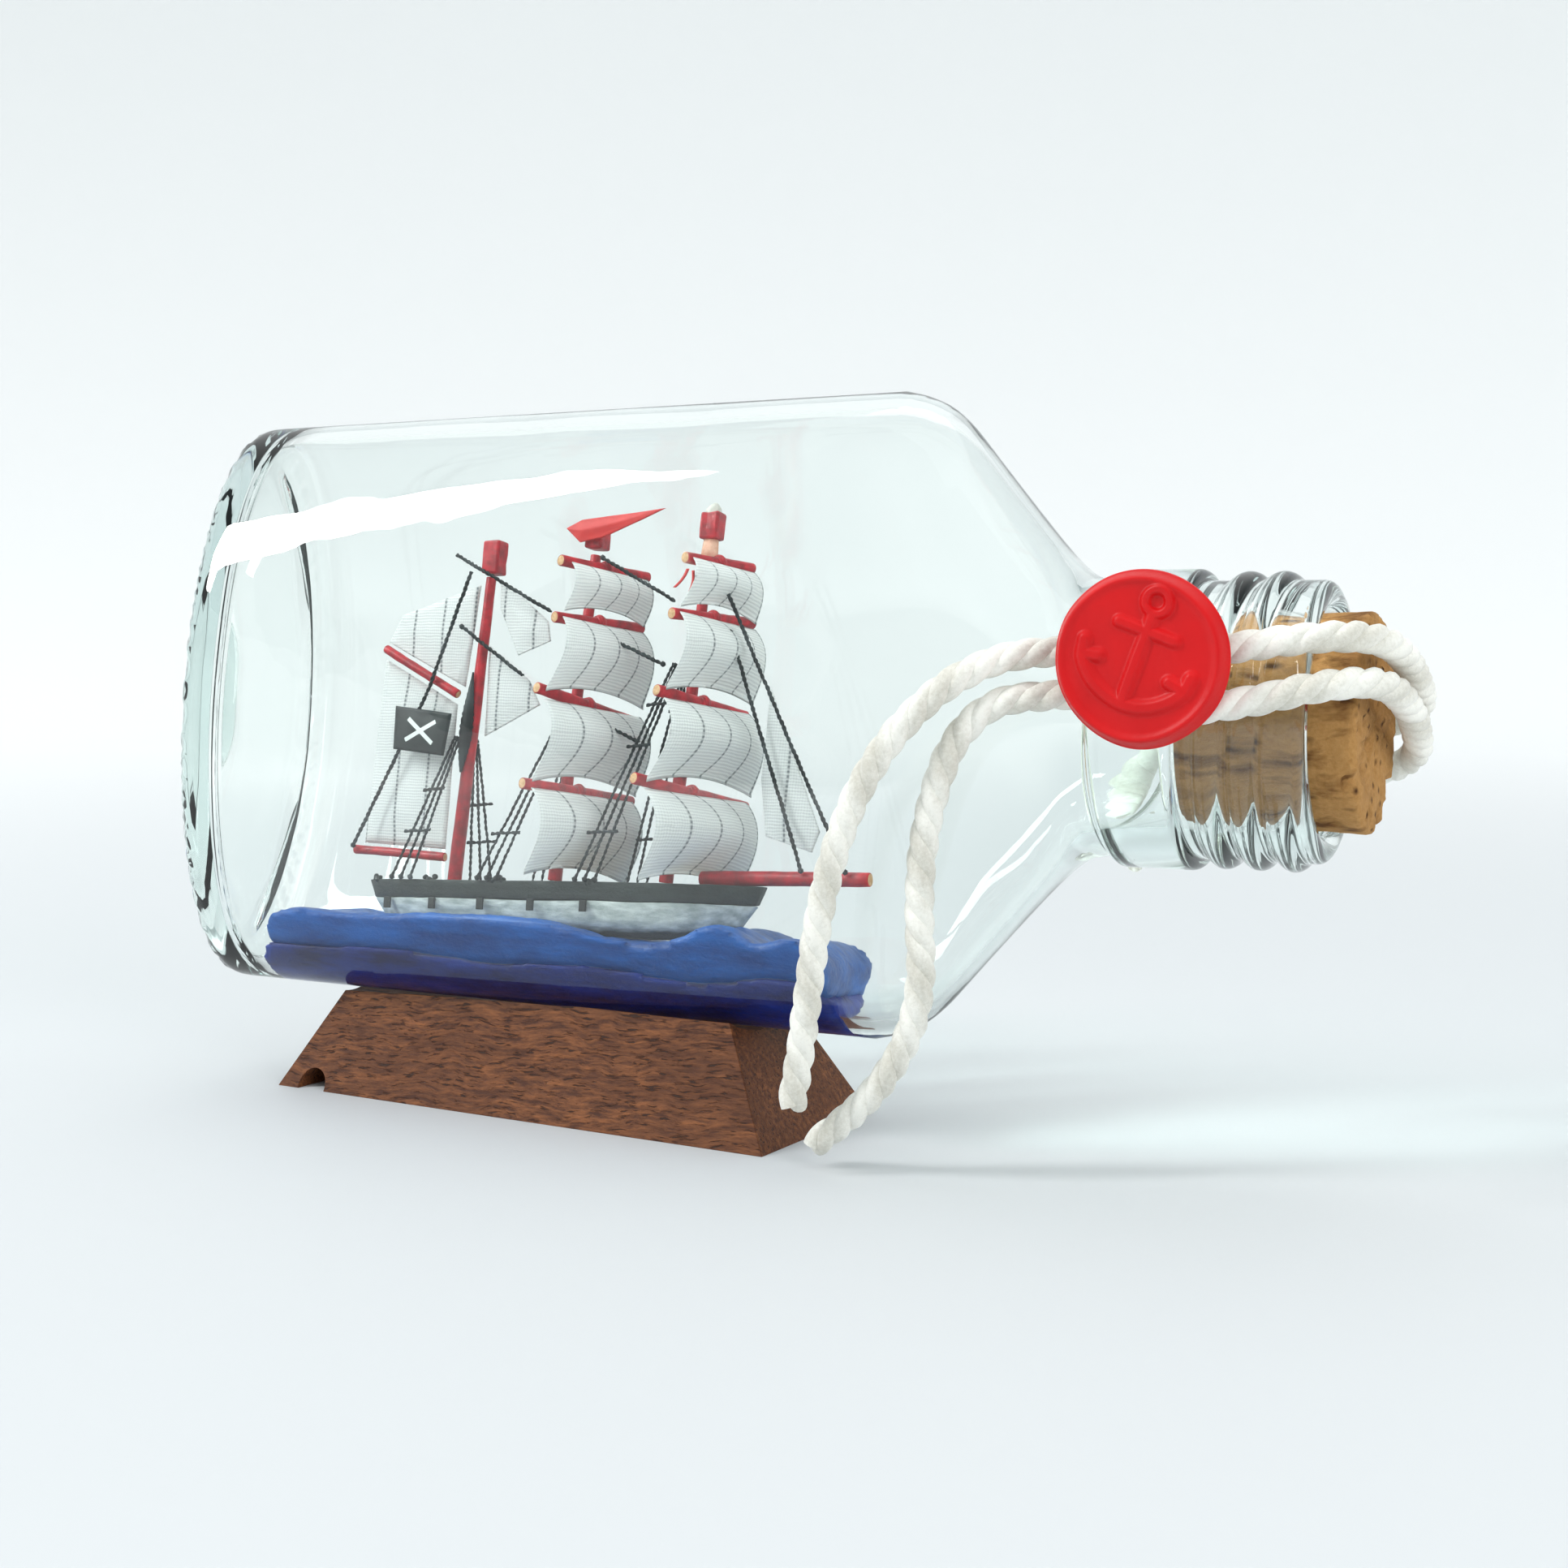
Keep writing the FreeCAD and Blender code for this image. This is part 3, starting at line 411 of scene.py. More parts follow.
def makeCords():
    material = cottonCord()
    found = {}
    for name, route, node, lay, end, splay in (
            ("cordLoopUpper", upperLoop, "cord_loop_upper", "taut", "object", 0),
            ("cordLoopLower", lowerLoop, "cord_loop_lower", "taut", "object", 0),
            ("cordTailOuter", outerTail, "cord_tail_outer", "hanging", "bare", 1),
            ("cordTailInner", innerTail, "cord_tail_inner", "hanging", "bare", 1)):
        piece, line = makeCord(name, route, material, splay)
        if splay:
            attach(piece, "bottle")
        else:
            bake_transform(piece)
        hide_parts(node)
        length = sum((b - a).length for a, b in zip(line, line[1:]))
        found[name] = length
    print("cords done", {name: round(length * 1000, 1) for name, length in found.items()})


makeCords()


bottle = {
    "around": 240,
    "bodyWide": 32.1, "bodyDeep": 12.6, "bodyTaper": 0.35, "bodyLength": 82.2,
    "neckStart": 103.6, "neckRadius": 13.1, "boreRadius": 10.35,
    "wall": 1.8, "floorThick": 3.6, "heel": 3.4,
    "collarStart": 106.4, "collarRadius": 14.1, "collarLength": 7.6,
    "finishEnd": 125.6, "threadRoot": 13.0, "threadHeight": 0.85, "threadPitch": 3.18, "threadFirst": 114.7,
    "threadTurns": 2.75, "threadFade": 0.16, "threadHalf": 1.25, "knurlHeight": 0.13,
    "floorCorner": 3.2, "lip": 0.9,
}
# share of the shoulder's length, of the fall in half width, and of the change in half depth
shoulder = [(0.0, 0.0, 0.0), (0.12, 0.03, 0.0), (0.27, 0.12, 0.0), (0.5, 0.43, 0.1),
            (0.74, 0.745, 0.45), (0.89, 0.93, 0.85), (1.0, 1.0, 1.0)]


def clearGlass():
    # soda-lime glass: IOR 1.5, nearly colourless, with a cool green tint where it is seen edge on
    material, tree, shader = newMaterial("sodaLimeGlass")
    shader.inputs["Base Color"].default_value = linear("#FDFFFE")
    shader.inputs["Roughness"].default_value = 0.0
    shader.inputs["IOR"].default_value = 1.5
    shader.inputs["Transmission Weight"].default_value = 1.0
    shader.inputs["Specular IOR Level"].default_value = 0.15
    coordinates = addNode(tree, "ShaderNodeTexCoord")
    ripple = addNode(tree, "ShaderNodeTexNoise", {"Vector": coordinates.outputs["Object"], "Scale": per(9),
                                                  "Detail": 1.0})
    bump(tree, shader, ripple.outputs["Fac"], 0.1, 0.5)
    # lamps reach what is inside
    rays = addNode(tree, "ShaderNodeLightPath")
    clear = addNode(tree, "ShaderNodeBsdfTransparent", {"Color": linear("#F3F8F7")})
    mix = addNode(tree, "ShaderNodeMixShader", {0: rays.outputs["Is Shadow Ray"], 1: shader.outputs[0],
                                                2: clear.outputs[0]})
    output = tree.nodes["Material Output"]
    tree.links.new(mix.outputs[0], output.inputs["Surface"])
    depth = addNode(tree, "ShaderNodeVolumeAbsorption", {"Color": linear("#BFE3DD"), "Density": 26.0})
    tree.links.new(depth.outputs[0], output.inputs["Volume"])
    return material


def shoulderAt(share, column):
    # a smooth line through the shoulder's shares
    for (s0, *a), (s1, *b) in zip(shoulder, shoulder[1:]):
        if share <= s1 + 1e-9:
            k = (share - s0) / (s1 - s0)
            return a[column] + (b[column] - a[column]) * k
    return 1.0


def softShoulder(share, column):
    spread = 0.07
    return sum(shoulderAt(min(1, max(0, share + spread * k)), column) for k in (-1, -0.5, 0, 0.5, 1)) / 5


def bodyStation(x, inset):
    # half width and half depth of the bottle at one place along it
    b = bottle
    wide = b["bodyWide"] - inset
    deep = b["bodyDeep"] - inset
    if x <= b["bodyLength"]:
        share = (x - 0.5 * b["bodyLength"]) / (0.5 * b["bodyLength"])
        return wide + b["bodyTaper"] * share, deep
    neck = b["neckRadius"] if inset == 0 else b["boreRadius"]
    share = min(1, (x - b["bodyLength"]) / (b["neckStart"] - b["bodyLength"]))
    fall, change = softShoulder(share, 0), softShoulder(share, 1)
    return (wide + b["bodyTaper"]) * (1 - fall) + neck * fall, deep * (1 - change) + neck * change


def bottleStations():
    # from the middle of the base along the outside to the rim, and back along the inside
    b = bottle
    out = []
    wide, deep = bodyStation(0, 0)
    for share, push in ((0.02, 1.3), (0.4, 1.25), (0.7, 0.95), (0.84, 0.45)):
        out.append((push, wide * share, deep * share, ""))
    heel = b["heel"]
    for k in range(13):
        angle = math.pi / 2 * k / 12
        drop = heel * (1 - math.sin(angle))
        along = heel * (1 - math.cos(angle))
        out.append((along, wide - drop, deep - drop, "knurl" if 2 <= k <= 8 else ""))
    for along in (4.4, 5.2, 6.4, 7.8):
        out.append((along, *bodyStation(along, 0), ""))
    for k in range(1, 25):
        x = 7.8 + (b["bodyLength"] - 7.8) * k / 24
        out.append((x, *bodyStation(x, 0), ""))
    for k in range(1, 31):
        x = b["bodyLength"] + (b["neckStart"] - b["bodyLength"]) * k / 30
        out.append((x, *bodyStation(x, 0), ""))
    start, radius, length = b["collarStart"], b["collarRadius"], b["collarLength"]
    neck, root, lip = b["neckRadius"], b["threadRoot"], b["lip"]
    out.append((start - 1.0, neck, neck, ""))
    for k in range(7):
        angle = math.pi / 2 * k / 6
        across = neck + (radius - neck) * math.sin(angle)
        out.append((start - 0.3 + lip * (1 - math.cos(angle)), across, across, ""))
    for k in range(7):
        angle = math.pi / 2 * k / 6
        across = root + (radius - root) * math.cos(angle)
        out.append((start + length - lip + lip * math.sin(angle), across, across, ""))
    first = start + length + 0.25
    last = b["finishEnd"] - lip
    for k in range(56):
        x = first + (last - first) * k / 55
        out.append((x, root, root, "thread"))
    bore = b["boreRadius"]
    for k in range(9):
        angle = math.pi * k / 8
        across = (root + bore) / 2 + (root - bore) / 2 * math.cos(angle)
        out.append((last + lip * math.sin(angle), across, across, ""))
    for x in (122.0, 118.0, 114.0, 110.0, 106.0):
        out.append((x, bore, bore, "inner"))
    for k in range(30):
        x = b["neckStart"] - (b["neckStart"] - b["bodyLength"]) * k / 30
        out.append((x, *bodyStation(x, b["wall"]), "inner"))
    floor, corner = b["floorThick"], b["floorCorner"]
    for k in range(25):
        x = b["bodyLength"] - (b["bodyLength"] - floor - corner) * k / 24
        out.append((x, *bodyStation(x, b["wall"]), "inner"))
    wide, deep = bodyStation(floor, b["wall"])
    for k in range(1, 9):
        angle = math.pi / 2 * k / 8
        drop = corner * (1 - math.cos(angle))
        out.append((floor + corner - corner * math.sin(angle), wide - drop, deep - drop, "inner"))
    for share, push in ((0.72, 0.2), (0.4, 0.7), (0.02, 0.8)):
        out.append((floor + push, wide * share, deep * share, "inner"))
    return out


def threadLift(x, turn):
    # height of the helical thread over its root; turn is the share of a full turn
    b = bottle
    lift = 0
    for k in range(4):
        place = k + turn
        if place > b["threadTurns"]:
            continue
        start = smoothStep(0, b["threadFade"], place)
        end = smoothStep(b["threadTurns"], b["threadTurns"] - b["threadFade"], place)
        ends = start * end
        apart = abs(x - b["threadFirst"] - b["threadPitch"] * place) / b["threadHalf"]
        if apart < 1:
            lift = max(lift, b["threadHeight"] * ends * (1 - apart ** 2) ** 0.8)
    return lift


def makeBottle():
    stations = bottleStations()
    around = bottle["around"]
    bm = bmesh.new()
    bmesh.ops.create_circle(bm, segments=around, radius=1.0)
    bmesh.ops.transform(bm, matrix=Matrix.Rotation(math.radians(90), 4, "Y"), verts=bm.verts)
    edges = list(bm.edges)
    before = Matrix()
    rings = []
    for k, (x, wide, deep, kind) in enumerate(stations):
        if k:
            edges, verts = extruded(bm, edges)
        else:
            verts = list(bm.verts)
        matrix = Matrix.Translation((x, 0, 0)) @ Matrix.Diagonal((1, deep, wide, 1))
        bmesh.ops.transform(bm, matrix=matrix @ before.inverted(), verts=verts)
        before = matrix
        rings.append((verts, kind, x))
    loops = [e for e in bm.edges if len(e.link_faces) == 1]
    bmesh.ops.holes_fill(bm, edges=loops, sides=0)
    for verts, kind, x in rings:
        for v in verts:
            turn = math.atan2(v.co.y, v.co.z) / (2 * math.pi)
            outward = Vector((0, v.co.y, v.co.z)).normalized()
            if kind == "thread":
                v.co += outward * threadLift(x, turn % 1)
            elif kind == "knurl":
                ridge = 1 if round(turn * around) % 3 == 0 else -0.1
                v.co += Vector((-0.6, outward.y, outward.z)) * bottle["knurlHeight"] * ridge
            elif kind == "inner" and x < 104:
                v.co += outward * 0.14 * noise.noise(v.co * 0.075)
    bmesh.ops.recalc_face_normals(bm, faces=bm.faces)
    pieceFrom(bm, "bottleGlass", [clearGlass()], "bottle", ["bottle"], bottlePlace)


makeBottle()
print("bottle done")


cork = {"inner": 9.6, "outer": 10.22, "length": 16.2, "place": 70.0, "wear": 0.3}


def naturalCork():
    # bark cork: warm tan, dry and matt, with dark pores and streaks
    material, tree, shader = newMaterial("naturalCork")
    coordinates = addNode(tree, "ShaderNodeTexCoord")
    where = coordinates.outputs["Object"]
    stretched = addNode(tree, "ShaderNodeMapping", {"Vector": where, "Scale": (0.35, 1.0, 1.0)})
    grain = addNode(tree, "ShaderNodeTexNoise", {"Vector": where, "Scale": per(0.5), "Detail": 6.0,
                                                 "Roughness": 0.7})
    blotch = addNode(tree, "ShaderNodeTexNoise", {"Vector": stretched.outputs[0], "Scale": per(3.2),
                                                  "Detail": 4.0, "Roughness": 0.65, "Distortion": 0.6})
    pores = addNode(tree, "ShaderNodeTexVoronoi", {"Vector": stretched.outputs[0], "Scale": per(1.5),
                                                   "Randomness": 1.0})
    pore = addNode(tree, "ShaderNodeMapRange", {"Value": pores.outputs["Distance"], "From Min": 0.08,
                                                "From Max": 0.3, "To Min": 1.0, "To Max": 0.0})
    dirt = addNode(tree, "ShaderNodeMapRange", {"Value": blotch.outputs["Fac"], "From Min": 0.47,
                                                "From Max": 0.66})
    base = addNode(tree, "ShaderNodeMix", {0: grain.outputs["Fac"], 6: linear("#9C6A33"),
                                           7: linear("#D3A468")},
                   data_type="RGBA")
    # the side is darker and dirtier than the cut end
    axes = addNode(tree, "ShaderNodeSeparateXYZ", {0: where})
    end = addNode(tree, "ShaderNodeMapRange", {"Value": axes.outputs["X"], "From Min": 0.0852,
                                               "From Max": 0.0861, "To Min": 1.0, "To Max": 0.22})
    dirty = addNode(tree, "ShaderNodeMath", {0: dirt.outputs[0], 1: end.outputs[0]}, operation="MULTIPLY")
    stained = addNode(tree, "ShaderNodeMix", {0: dirty.outputs[0], 6: base.outputs[2], 7: linear("#6B4420")},
                      data_type="RGBA")
    spotted = addNode(tree, "ShaderNodeMix", {0: pore.outputs[0], 6: stained.outputs[2],
                                              7: linear("#4E2F16")},
                      data_type="RGBA")
    tree.links.new(spotted.outputs[2], shader.inputs["Base Color"])
    shader.inputs["Roughness"].default_value = 0.85
    shader.inputs["Specular IOR Level"].default_value = 0.25
    height = addNode(tree, "ShaderNodeMath", {0: pore.outputs[0], 1: -0.8, 2: grain.outputs["Fac"]},
                     operation="MULTIPLY_ADD")
    bump(tree, shader, height.outputs[0], 0.7, 0.35)
    return material


def makeCork():
    bm = bmesh.new()
    bmesh.ops.create_cone(bm, cap_ends=True, cap_tris=False, segments=96, radius1=cork["inner"],
                          radius2=cork["outer"], depth=cork["length"])
    bmesh.ops.translate(bm, vec=(0, 0, cork["length"] / 2), verts=bm.verts)
    rim = [e for e in bm.edges if all(abs(v.co.z - cork["length"]) < 0.01 for v in e.verts)]
    bmesh.ops.bevel(bm, geom=rim, offset=0.7, segments=3, profile=0.5, affect="EDGES", material=-1)
    for level in range(1, 24):
        crossCut(bm, level * (cork["length"] - 0.9) / 24)
    for cap in [f for f in bm.faces if len(f.verts) > 40]:
        for size in (1.1, 1.1, 1.6, 2.0, 2.4):
            bmesh.ops.inset_region(bm, faces=[cap], thickness=size)
    for v in bm.verts:
        away = Vector((v.co.x, v.co.y, 0))
        rough = noise.fractal(v.co * 0.9, 0.7, 2.0, 4)
        chip = max(0, noise.noise(v.co * 0.42 + Vector((3, 8, 1))) - 0.12) * smoothStep(11, 16, v.co.z)
        if away.length > 5:
            v.co -= away.normalized() * (cork["wear"] * (0.25 + 0.5 * max(0, rough)) + 1.6 * chip)
        if v.co.z > 15.4:
            v.co.z -= 0.35 * abs(rough) + 1.8 * chip
    bmesh.ops.recalc_face_normals(bm, faces=bm.faces)
    place = Matrix.Translation((cork["place"], 0, axisHeight)) @ Matrix.Rotation(math.radians(90), 4, "Y")
    pieceFrom(bm, "corkPlug", [naturalCork()], "cork", ["cork"], place)


makeCork()
print("cork done")


seal = {"radius": 7.9, "thick": 2.3, "centre": (69.3, -17.15, 48.85), "boss": 2.6, "bossLength": 3.2,
        "tilt": 20, "relief": 0.42}


def sealingWax():
    # pressed wax: bright red, satin, slightly see-through at thin edges
    material, tree, shader = newMaterial("sealingWax")
    coordinates = addNode(tree, "ShaderNodeTexCoord")
    cloud = addNode(tree, "ShaderNodeTexNoise", {"Vector": coordinates.outputs["Object"], "Scale": per(4),
                                                 "Detail": 4.0})
    fine = addNode(tree, "ShaderNodeTexNoise", {"Vector": coordinates.outputs["Object"], "Scale": per(0.5),
                                                "Detail": 4.0})
    colour = addNode(tree, "ShaderNodeMix", {0: cloud.outputs["Fac"], 6: linear("#BE0006"),
                                             7: linear("#DC0208")},
                     data_type="RGBA")
    tree.links.new(colour.outputs[2], shader.inputs["Base Color"])
    shade = addNode(tree, "ShaderNodeMapRange", {"Value": fine.outputs["Fac"], "To Min": 0.36,
                                                 "To Max": 0.55})
    tree.links.new(shade.outputs[0], shader.inputs["Roughness"])
    shader.inputs["Specular IOR Level"].default_value = 0.35
    shader.inputs["Subsurface Weight"].default_value = 0.15
    shader.inputs["Subsurface Radius"].default_value = (0.0012, 0.0003, 0.0002)
    shader.inputs["Subsurface Scale"].default_value = 1.0
    bump(tree, shader, fine.outputs["Fac"], 0.25, 0.1)
    return material


def strokeShare(point, a, b, width):
    # 1 on the line from a to b, falling to 0 at width beside it
    return smoothStep(width, 0.25 * width, edgeGap(point, a, b))


def anchorRelief(x, y):
    # a plain anchor: ring, stock, shank and two curved arms with flukes
    turn = math.radians(seal["tilt"])
    p = Vector((x * math.cos(turn) - y * math.sin(turn), x * math.sin(turn) + y * math.cos(turn), 0)) / 1.15
    best = strokeShare(p, Vector((0, 3.4, 0)), Vector((0, -3.6, 0)), 0.75)
    best = max(best, strokeShare(p, Vector((-2.3, 2.2, 0)), Vector((2.3, 2.2, 0)), 0.7))
    ring = abs((p - Vector((0, 4.6, 0))).length - 0.95)
    best = max(best, smoothStep(0.55, 0.15, ring))
    centre = Vector((0, 1.2, 0))
    angle = math.degrees(math.atan2(p.x, -(p.y - centre.y)))
    arm = abs((p - centre).length - 4.8)
    best = max(best, smoothStep(0.8, 0.2, arm) * smoothStep(66, 60, abs(angle)))
    for side in (-1, 1):
        tip = centre + Vector((side * 4.8 * math.sin(math.radians(62)), -4.8 * math.cos(math.radians(62)), 0))
        best = max(best, strokeShare(p, tip, tip + Vector((-side * 1.3, 0.25, 0)), 0.75))
        best = max(best, strokeShare(p, tip, tip + Vector((side * 0.15, 1.1, 0)), 0.75))
    return best


def makeSeal():
    radius, thick = seal["radius"], seal["thick"]
    bm = bmesh.new()
    bmesh.ops.create_grid(bm, x_segments=150, y_segments=150, size=1.0)
    for v in bm.verts:
        # the square grid is drawn round: each square ring becomes a circle
        reach = max(abs(v.co.x), abs(v.co.y))
        flat = Vector((v.co.x, v.co.y, 0))
        if flat.length > 0:
            v.co = flat.normalized() * reach * radius
    for v in bm.verts:
        share = Vector((v.co.x, v.co.y, 0)).length / radius
        angle = math.atan2(v.co.y, v.co.x)
        uneven = 1 - 0.02 * (1 + noise.noise(Vector((math.cos(angle), math.sin(angle), 0.3)) * 1.4)) * share
        rim = 0.75 * smoothStep(1.0, 0.9, share) + 0.25 * (1 - max(0, share - 0.86) / 0.14 * share)
        dish = 0.32 * math.exp(-((share - 0.9) / 0.055) ** 2)
        relief = seal["relief"] * anchorRelief(v.co.x, v.co.y)
        swell = 0.12 * noise.noise(Vector((v.co.x, v.co.y, 5)) * 0.28)
        v.co.z = 0.7 + (thick - 1.15) * rim + dish + relief + swell * smoothStep(1, 0.8, share)
        v.co.x *= uneven
        v.co.y *= uneven
    edge = [e for e in bm.edges if e.is_boundary]
    for grow, level in ((1.0, 0.35), (0.985, 0.1), (0.95, 0.0), (0.6, 0.0), (0.35, 0.0)):
        edge, corners = extruded(bm, edge)
        for v in corners:
            away = Vector((v.co.x, v.co.y, 0)).normalized()
            v.co = away * radius * 0.975 * grow
            v.co.z = level
    for reach, level in ((seal["boss"], 0.0), (seal["boss"], -seal["bossLength"])):
        edge, corners = extruded(bm, edge)
        for v in corners:
            away = Vector((v.co.x, v.co.y, 0)).normalized()
            v.co = away * reach
            v.co.z = level
    bmesh.ops.holes_fill(bm, edges=[e for e in bm.edges if e.is_boundary], sides=0)
    bmesh.ops.recalc_face_normals(bm, faces=bm.faces)
    place = Matrix.Translation(seal["centre"]) @ Matrix.Rotation(math.radians(90), 4, "X")
    pieceFrom(bm, "waxSeal", [sealingWax()], "bottle", ["wax_seal"], place)


makeSeal()
print("seal done")


stand = {"edge": 0.35, "yaw": -4.8}


def stainedWood():
    # open-grained hardwood under thin brown stain, rubbed back so that the grain's ridges show orange
    material, tree, shader = newMaterial("stainedHardwood")
    coordinates = addNode(tree, "ShaderNodeTexCoord")
    turned = addNode(tree, "ShaderNodeMapping", {"Vector": coordinates.outputs["Object"],
                                                 "Rotation": (0, 0.06, math.radians(-stand["yaw"]))})
    warp = addNode(tree, "ShaderNodeTexNoise", {"Vector": turned.outputs[0], "Scale": per(7), "Detail": 3.0})
    pushed = addNode(tree, "ShaderNodeVectorMath", {0: warp.outputs["Color"], 1: (0.0012, 0.0012, 0.0022)},
                     operation="MULTIPLY")
    bent = addNode(tree, "ShaderNodeVectorMath", {0: turned.outputs[0], 1: pushed.outputs[0]},
                   operation="ADD")
    along = addNode(tree, "ShaderNodeMapping", {"Vector": bent.outputs[0], "Scale": (0.14, 1.0, 1.0)})
    grain = addNode(tree, "ShaderNodeTexNoise", {"Vector": along.outputs[0], "Scale": per(0.55),
                                                 "Detail": 7.0, "Roughness": 0.72})
    dash = addNode(tree, "ShaderNodeTexNoise", {"Vector": along.outputs[0], "Scale": per(0.28),
                                                "Detail": 2.0})
    broad = addNode(tree, "ShaderNodeTexNoise", {"Vector": along.outputs[0], "Scale": per(2.6),
                                                 "Detail": 3.0})
    light = addNode(tree, "ShaderNodeMapRange", {"Value": grain.outputs["Fac"], "From Min": 0.40,
                                                 "From Max": 0.66})
    body = addNode(tree, "ShaderNodeMix", {0: light.outputs[0], 6: linear("#482412"), 7: linear("#945A32")},
                   data_type="RGBA")
    patch = addNode(tree, "ShaderNodeMapRange", {"Value": broad.outputs["Fac"], "From Min": 0.36,
                                                 "From Max": 0.64, "To Min": 0.45, "To Max": 1.0})
    toned = addNode(tree, "ShaderNodeMix", {0: patch.outputs[0], 6: linear("#5C331A"), 7: body.outputs[2]},
                    data_type="RGBA")
    pore = addNode(tree, "ShaderNodeMapRange", {"Value": dash.outputs["Fac"], "From Min": 0.58,
                                                "From Max": 0.68})
    dark = addNode(tree, "ShaderNodeMix", {0: pore.outputs[0], 6: toned.outputs[2], 7: linear("#361C0F")},
                   data_type="RGBA")
    tree.links.new(dark.outputs[2], shader.inputs["Base Color"])
    shader.inputs["Roughness"].default_value = 0.6
    shader.inputs["Specular IOR Level"].default_value = 0.35
    height = addNode(tree, "ShaderNodeMath", {0: pore.outputs[0], 1: -0.7, 2: grain.outputs["Fac"]},
                     operation="MULTIPLY_ADD")
    bump(tree, shader, height.outputs[0], 0.6, 0.25)
    return material


def copyOf(node):
    # a CAD node's mesh in millimetres, its loose triangles merged
    bm = bmesh.new()
    bm.from_mesh(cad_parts[node].data)
    bmesh.ops.transform(bm, matrix=Matrix.Scale(1 / mm, 4), verts=bm.verts)
    bmesh.ops.remove_doubles(bm, verts=bm.verts, dist=0.002)
    return bm


def makeStand():
    bm = copyOf("stand")
    bmesh.ops.dissolve_limit(bm, angle_limit=math.radians(1), verts=bm.verts, edges=bm.edges)
    sharp = [e for e in bm.edges if e.is_manifold and e.calc_face_angle(0) > math.radians(28)]
    bmesh.ops.bevel(bm, geom=sharp, offset=stand["edge"], segments=3, profile=0.5, affect="EDGES",
                    material=-1, clamp_overlap=True)
    bmesh.ops.triangulate(bm, faces=bm.faces)
    bmesh.ops.subdivide_edges(bm, edges=[e for e in bm.edges if e.calc_length() > 3], cuts=2,
                              use_grid_fill=True)
    for v in bm.verts:
        if v.co.z > 0.3:
            v.co += Vector((0, 0, 0.07)) * noise.noise(v.co * 0.35)
    pieceFrom(bm, "standBlock", [stainedWood()], "stand", ["stand"], smooth=False)


makeStand()
print("stand done")


sea = {"voxel": 0.45, "swell": 0.5, "push": 0.35, "press": 0.42}


def bluePutty(name, low, high, gloss):
    # oil putty pressed in with a tool: saturated, half matt, with faint tool marks
    material, tree, shader = newMaterial(name)
    coordinates = addNode(tree, "ShaderNodeTexCoord")
    drawn = addNode(tree, "ShaderNodeMapping", {"Vector": coordinates.outputs["Object"],
                                                "Scale": (0.3, 1.0, 1.0)})
    smear = addNode(tree, "ShaderNodeTexNoise", {"Vector": drawn.outputs[0], "Scale": per(2.5), "Detail": 5.0,
                                                 "Roughness": 0.6})
    fine = addNode(tree, "ShaderNodeTexNoise", {"Vector": coordinates.outputs["Object"], "Scale": per(0.5),
                                                "Detail": 3.0})
    share = addNode(tree, "ShaderNodeMapRange", {"Value": smear.outputs["Fac"], "From Min": 0.35,
                                                 "From Max": 0.68})
    colour = addNode(tree, "ShaderNodeMix", {0: share.outputs[0], 6: linear(low), 7: linear(high)},
                     data_type="RGBA")
    tree.links.new(colour.outputs[2], shader.inputs["Base Color"])
    shader.inputs["Roughness"].default_value = gloss
    height = addNode(tree, "ShaderNodeMath", {0: fine.outputs["Fac"], 1: 0.35, 2: smear.outputs["Fac"]},
                     operation="MULTIPLY_ADD")
    bump(tree, shader, height.outputs[0], 0.5, 0.5)
    return material


def makeSea(name, node, material, lift):
    bm = copyOf(node)
    mesh = bpy.data.meshes.new(name)
    bm.to_mesh(mesh)
    bm.free()
    piece = pieceFromMesh(mesh, name, [material], None)
    remesh = piece.modifiers.new("even", "REMESH")
    remesh.mode = "VOXEL"
    remesh.voxel_size = sea["voxel"]
    applied(piece)
    bm = bmesh.new()
    bm.from_mesh(piece.data)
    for _ in range(3):
        bmesh.ops.smooth_vert(bm, verts=bm.verts, factor=0.5, use_axis_x=True, use_axis_y=True,
                              use_axis_z=True)
    bm.normal_update()
    for v in bm.verts:
        up = smoothStep(0.2, 0.8, v.normal.z)
        wave = noise.noise(Vector((v.co.x * 0.16, v.co.y * 0.3, 2)))
        dab = noise.noise(Vector((v.co.x * 0.55, v.co.y * 0.7, 7)))
        v.co.z += up * lift * (sea["swell"] * wave + sea["push"] * min(0, dab))
        # underneath, the putty is pressed hard against the glass
        v.co += v.normal * sea["press"] * (1 - up)
    bpy.data.objects.remove(piece)
    bm.normal_update()
    pieceFrom(bm, name, [material], "bottle", [node])


makeSea("seaDeep", "sea_deep", bluePutty("deepPutty", "#000F55", "#02359C", 0.4), 0.3)
makeSea("seaSwell", "sea_swell", bluePutty("swellPutty", "#003F86", "#0C62B8", 0.45), 1.0)
print("sea done")


hull = {"deck": -19.2, "edge": 0.12, "fineEdge": 0.05}


